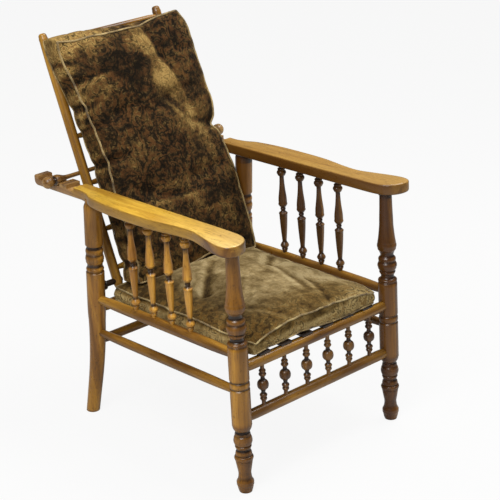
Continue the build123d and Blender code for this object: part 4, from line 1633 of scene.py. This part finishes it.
# The top's rise, the droop of its front seam and the lower hem's sag: a place across and a height
back_top_lift = (
    (-0.210, 0.009),
    (-0.110, 0.008),
    (-0.030, 0.001),
    (0.050, -0.005),
    (0.140, -0.006),
    (0.200, 0.000),
)
back_front_drop = (
    (-0.210, 0.018),
    (-0.160, 0.026),
    (-0.030, 0.020),
    (0.060, 0.012),
    (0.120, 0.000),
)
back_hem = (
    (-0.190, -0.012),
    (-0.100, -0.014),
    (0.000, -0.010),
    (0.060, -0.002),
    (0.120, -0.010),
    (0.185, -0.026),
    (0.230, -0.030),
)
back_tuft_depth, back_tuft_reach, back_tuft_sewn = 0.008, 0.017, 0.006
back_side_waver, back_face_waver = 0.003, 0.004
back_cells = (66, 96, 8)
# The back's folds: a start, an end, a depth and a width
back_folds = (
    ((-0.205, 0.515), (-0.100, 0.535), 0.0065, 0.009),
    ((0.066, 0.605), (0.081, 0.534), 0.0060, 0.011),
    ((0.081, 0.534), (0.125, 0.440), 0.0060, 0.013),
    ((0.140, 0.540), (0.205, 0.535), 0.0040, 0.008),
    ((0.205, 0.322), (0.130, 0.345), 0.0080, 0.014),
    ((-0.185, 0.300), (-0.120, 0.310), 0.0060, 0.010),
    ((-0.060, 0.178), (0.120, 0.165), 0.0040, 0.016),
    ((0.069, 0.420), (0.115, 0.346), 0.0035, 0.014),
)
# Where a side is pinched in: the side, a height and a depth
back_pinches = (
    (-1, 0.455, 0.008),
    (-1, 0.302, 0.007),
    (-1, 0.036, 0.009),
    (1, 0.318, 0.012),
    (-1, 0.395, 0.004),
)
back_pinch_reach = 0.012


def back_place(u, v, w):
    """A point of the back cushion before it is filled: x, forward, s."""
    left, right = at_station(back_stations, v, 1), at_station(back_stations, v, 2)
    across = 2 * u - 1
    seam_share = back_rear_share + (back_seam_share - back_rear_share) * w
    swell = seam_share + (1 - seam_share) * 4 * w * (1 - w)
    x = (left + right) / 2 + across * (right - left) / 2 * swell
    s = back_bottom + v * back_height
    for side, height, depth in back_pinches:
        if side * across > 0:
            x -= side * depth * peak(s, height, back_pinch_reach) * eased(abs(across)) ** 3
    x += back_side_waver * noise.noise(Vector((across, s * 26, w * 1.5))) * abs(across) ** 3
    s += v**4 * traced(back_top_lift, x) - (v * w) ** 8 * traced(back_front_drop, x)
    s += (1 - v) ** 6 * traced(back_hem, x) * w
    fullness = at_station(back_stations, v, 3)
    off = back_rear_gap + w * back_boxing
    if at_base(w):
        off -= fullness * back_rear_crown * (1 - across**2)
    if at_top(w):
        off += fullness * full_crown(across) * back_crown
        off -= sum(back_tuft_depth * bump_at(x, s, tuft, back_tuft_reach) for tuft in back_tufts)
        off -= sum(depth * fold_at(x, s, start, end, width) for start, end, depth, width in back_folds)
        off += back_face_waver * noise.noise(Vector((x * 9, s * 9, 1)))
    return Vector((x, -off, s))


# The heights of the tucks along the back's left side, where shade is painted in as dark lines
back_tucks = (0.575, 0.535, 0.505, 0.455, 0.42, 0.395, 0.302, 0.255, 0.2, 0.15, 0.1, 0.036)


def back_band(x, s):
    """The rubbed band that runs down the back's right half, from 0 beside it to 1 in its middle."""
    upper = fold_at(x, s, (0.045, 0.600), (0.062, 0.454), 0.028)
    lower = fold_at(x, s, (0.066, 0.480), (0.130, 0.260), 0.042)
    return max(0.8 * upper, lower)


def back_tone(x, forward, s):
    """The back's nap, over a half where it is pale: rubbed down a band, dark in its upper right corner, with
    painted shade in its folds and tucks and painted highlights beside its folds and on its sag.
    """
    rubbed = 0.41 * back_band(x, s)
    pale_low = 0.1 * ramp(s, 0.2, 0.1)
    pale_top = 0.15 * ramp(s, 0.55, 0.62) * ramp(x, 0.07, 0.02)
    pale_left = 0.1 * ramp(x, -0.08, -0.14) * ramp(s, 0.38, 0.48)
    pale_right = 0.14 * ramp(x, 0.12, 0.18) * ramp(s, 0.47, 0.42) * ramp(s, 0.25, 0.35)
    # A painted highlight along the ridge of the back's sag
    sag_highlight = 0.14 * peak(s, 0.2, 0.016) * peak(x, 0.03, 0.08)
    dark_corner = 0.06 * ramp(x, 0.07, 0.11) * ramp(s, 0.455, 0.505) * ramp(x, 0.2, 0.18)
    dark_middle = 0.05 * bump_at(x, s, (-0.02, 0.33), 0.09)
    fold_shading = fold_light_and_shade(x, s, [fold[:2] for fold in back_folds], (-0.006, -0.012), 0.009)
    # Painted shade in the tucks of the left side, which is otherwise paler
    tuck_shade = min(sum(peak(s, height, 0.009) for height in back_tucks), 1)
    left_side = ramp(x, -0.165, -0.185) * (0.16 - 0.34 * tuck_shade)
    tone = 0.36 + rubbed + pale_low + pale_top + pale_left + pale_right + sag_highlight
    return tone - dark_corner - dark_middle + fold_shading + left_side


def back_figure(x, forward, s):
    """How much of the back's figure shows: all of it but for the rubbed band."""
    return 1 - 0.45 * back_band(x, s)


back = Grid(*back_cells)
back.shape(back_place)
held = [
    hold(unit, (point.co.x, point.co.z), back_tufts, back_tuft_sewn)
    for unit, point in zip(back.units, back.obj.data.vertices)
]
upholstered(back, held, back_tone, back_figure, leaning)
piping("back_front_piping", back.obj, back.last_seam, "back", soiled_piping_cloth, width=0.0050, stray=0.0018)
piping("back_rear_piping", back.obj, back.first_seam, "back", soiled_piping_cloth, width=0.0042, stray=0.0014)
finished(back.obj, "back_pad", "back", back_velvet, "velvet", "back_cushion")

# Floor, light and camera
floor_size = 90
floor_tone = (0.6, 0.6, 0.59)
floor_glow_share = 0.9


def pale_floor():
    """A pale floor that the camera sees nearly white, with the chair's soft shadow on it."""
    material, tree, shader = new_material("pale_floor")
    shader.inputs["Base Color"].default_value = (*floor_tone, 1)
    shader.inputs["Roughness"].default_value = 0.9
    glow = tree.nodes.new("ShaderNodeEmission")
    glow.inputs["Strength"].default_value = 1
    path = tree.nodes.new("ShaderNodeLightPath")
    mix = tree.nodes.new("ShaderNodeMixShader")
    link(tree, multiplied(tree, path.outputs["Is Camera Ray"], floor_glow_share), mix.inputs["Fac"])
    link(tree, shader.outputs["BSDF"], mix.inputs[1])
    link(tree, glow.outputs["Emission"], mix.inputs[2])
    link(tree, mix.outputs["Shader"], tree.nodes["Material Output"].inputs["Surface"])
    return material


deselected()
bpy.ops.mesh.primitive_plane_add(size=floor_size, location=(0, 0, 0))
floor = bpy.context.object
floor.name = "floor"
floor.data.materials.append(pale_floor())


world_light = 0.42
world_gloss = 0.14


def studio_world():
    """Even white light, dimmer in reflections, which the camera sees as white."""
    world = bpy.data.worlds.new("studio")
    world.use_nodes = True
    tree = world.node_tree
    background = tree.nodes["Background"]
    background.inputs["Color"].default_value = (1, 1, 1, 1)
    path = tree.nodes.new("ShaderNodeLightPath")
    lit = ranged(tree, path.outputs["Is Glossy Ray"], 0, 1, world_light, world_gloss)
    strength = computed(tree, "MAXIMUM", path.outputs["Is Camera Ray"], lit)
    link(tree, strength, background.inputs["Strength"])
    bpy.context.scene.world = world


studio_world()


lamp_target = Vector((0, 0, 0.5))


def soft_lamp(name, place, size, power):
    """A square soft lamp that points at the chair."""
    lamp = bpy.data.lights.new(name, "AREA")
    lamp.shape = "SQUARE"
    lamp.size = size
    lamp.energy = power
    obj = bpy.data.objects.new(name, lamp)
    obj.location = place
    obj.rotation_euler = (lamp_target - Vector(place)).to_track_quat("-Z", "Y").to_euler()
    bpy.context.scene.collection.objects.link(obj)


soft_lamp("key_lamp", (-1.7, -0.9, 2.7), size=1.4, power=62)
soft_lamp("top_lamp", (1.1, -0.2, 2.8), size=1.5, power=52)

# The camera, as it was fitted to the photograph: its turns and its place in the chair's square layout
camera_turn = radians(-41.724)
camera_rise = radians(20.955)
camera_roll = radians(-3.182)
camera_place = (-2.60593, -2.69257, 1.99744)
focal_pixels = 1647.7
image_width = 500
sensor_width = 36.0

camera_data = bpy.data.cameras.new("camera")
camera_data.sensor_width = sensor_width
camera_data.lens = focal_pixels * sensor_width / image_width
camera_data.clip_end = 50
camera = bpy.data.objects.new("camera", camera_data)
bpy.context.scene.collection.objects.link(camera)
backward = Vector(
    (sin(camera_turn) * cos(camera_rise), -cos(camera_turn) * cos(camera_rise), sin(camera_rise))
)
level_right = Vector((cos(camera_turn), sin(camera_turn), 0))
level_up = backward.cross(level_right)
camera_right = cos(camera_roll) * level_right + sin(camera_roll) * level_up
camera_up = cos(camera_roll) * level_up - sin(camera_roll) * level_right
camera_turned = Matrix((camera_right, camera_up, backward)).transposed().to_4x4()
camera.matrix_world = standing @ Matrix.Translation(camera_place) @ camera_turned
bpy.context.scene.camera = camera
bpy.context.scene.view_settings.view_transform = "Standard"

deselected()
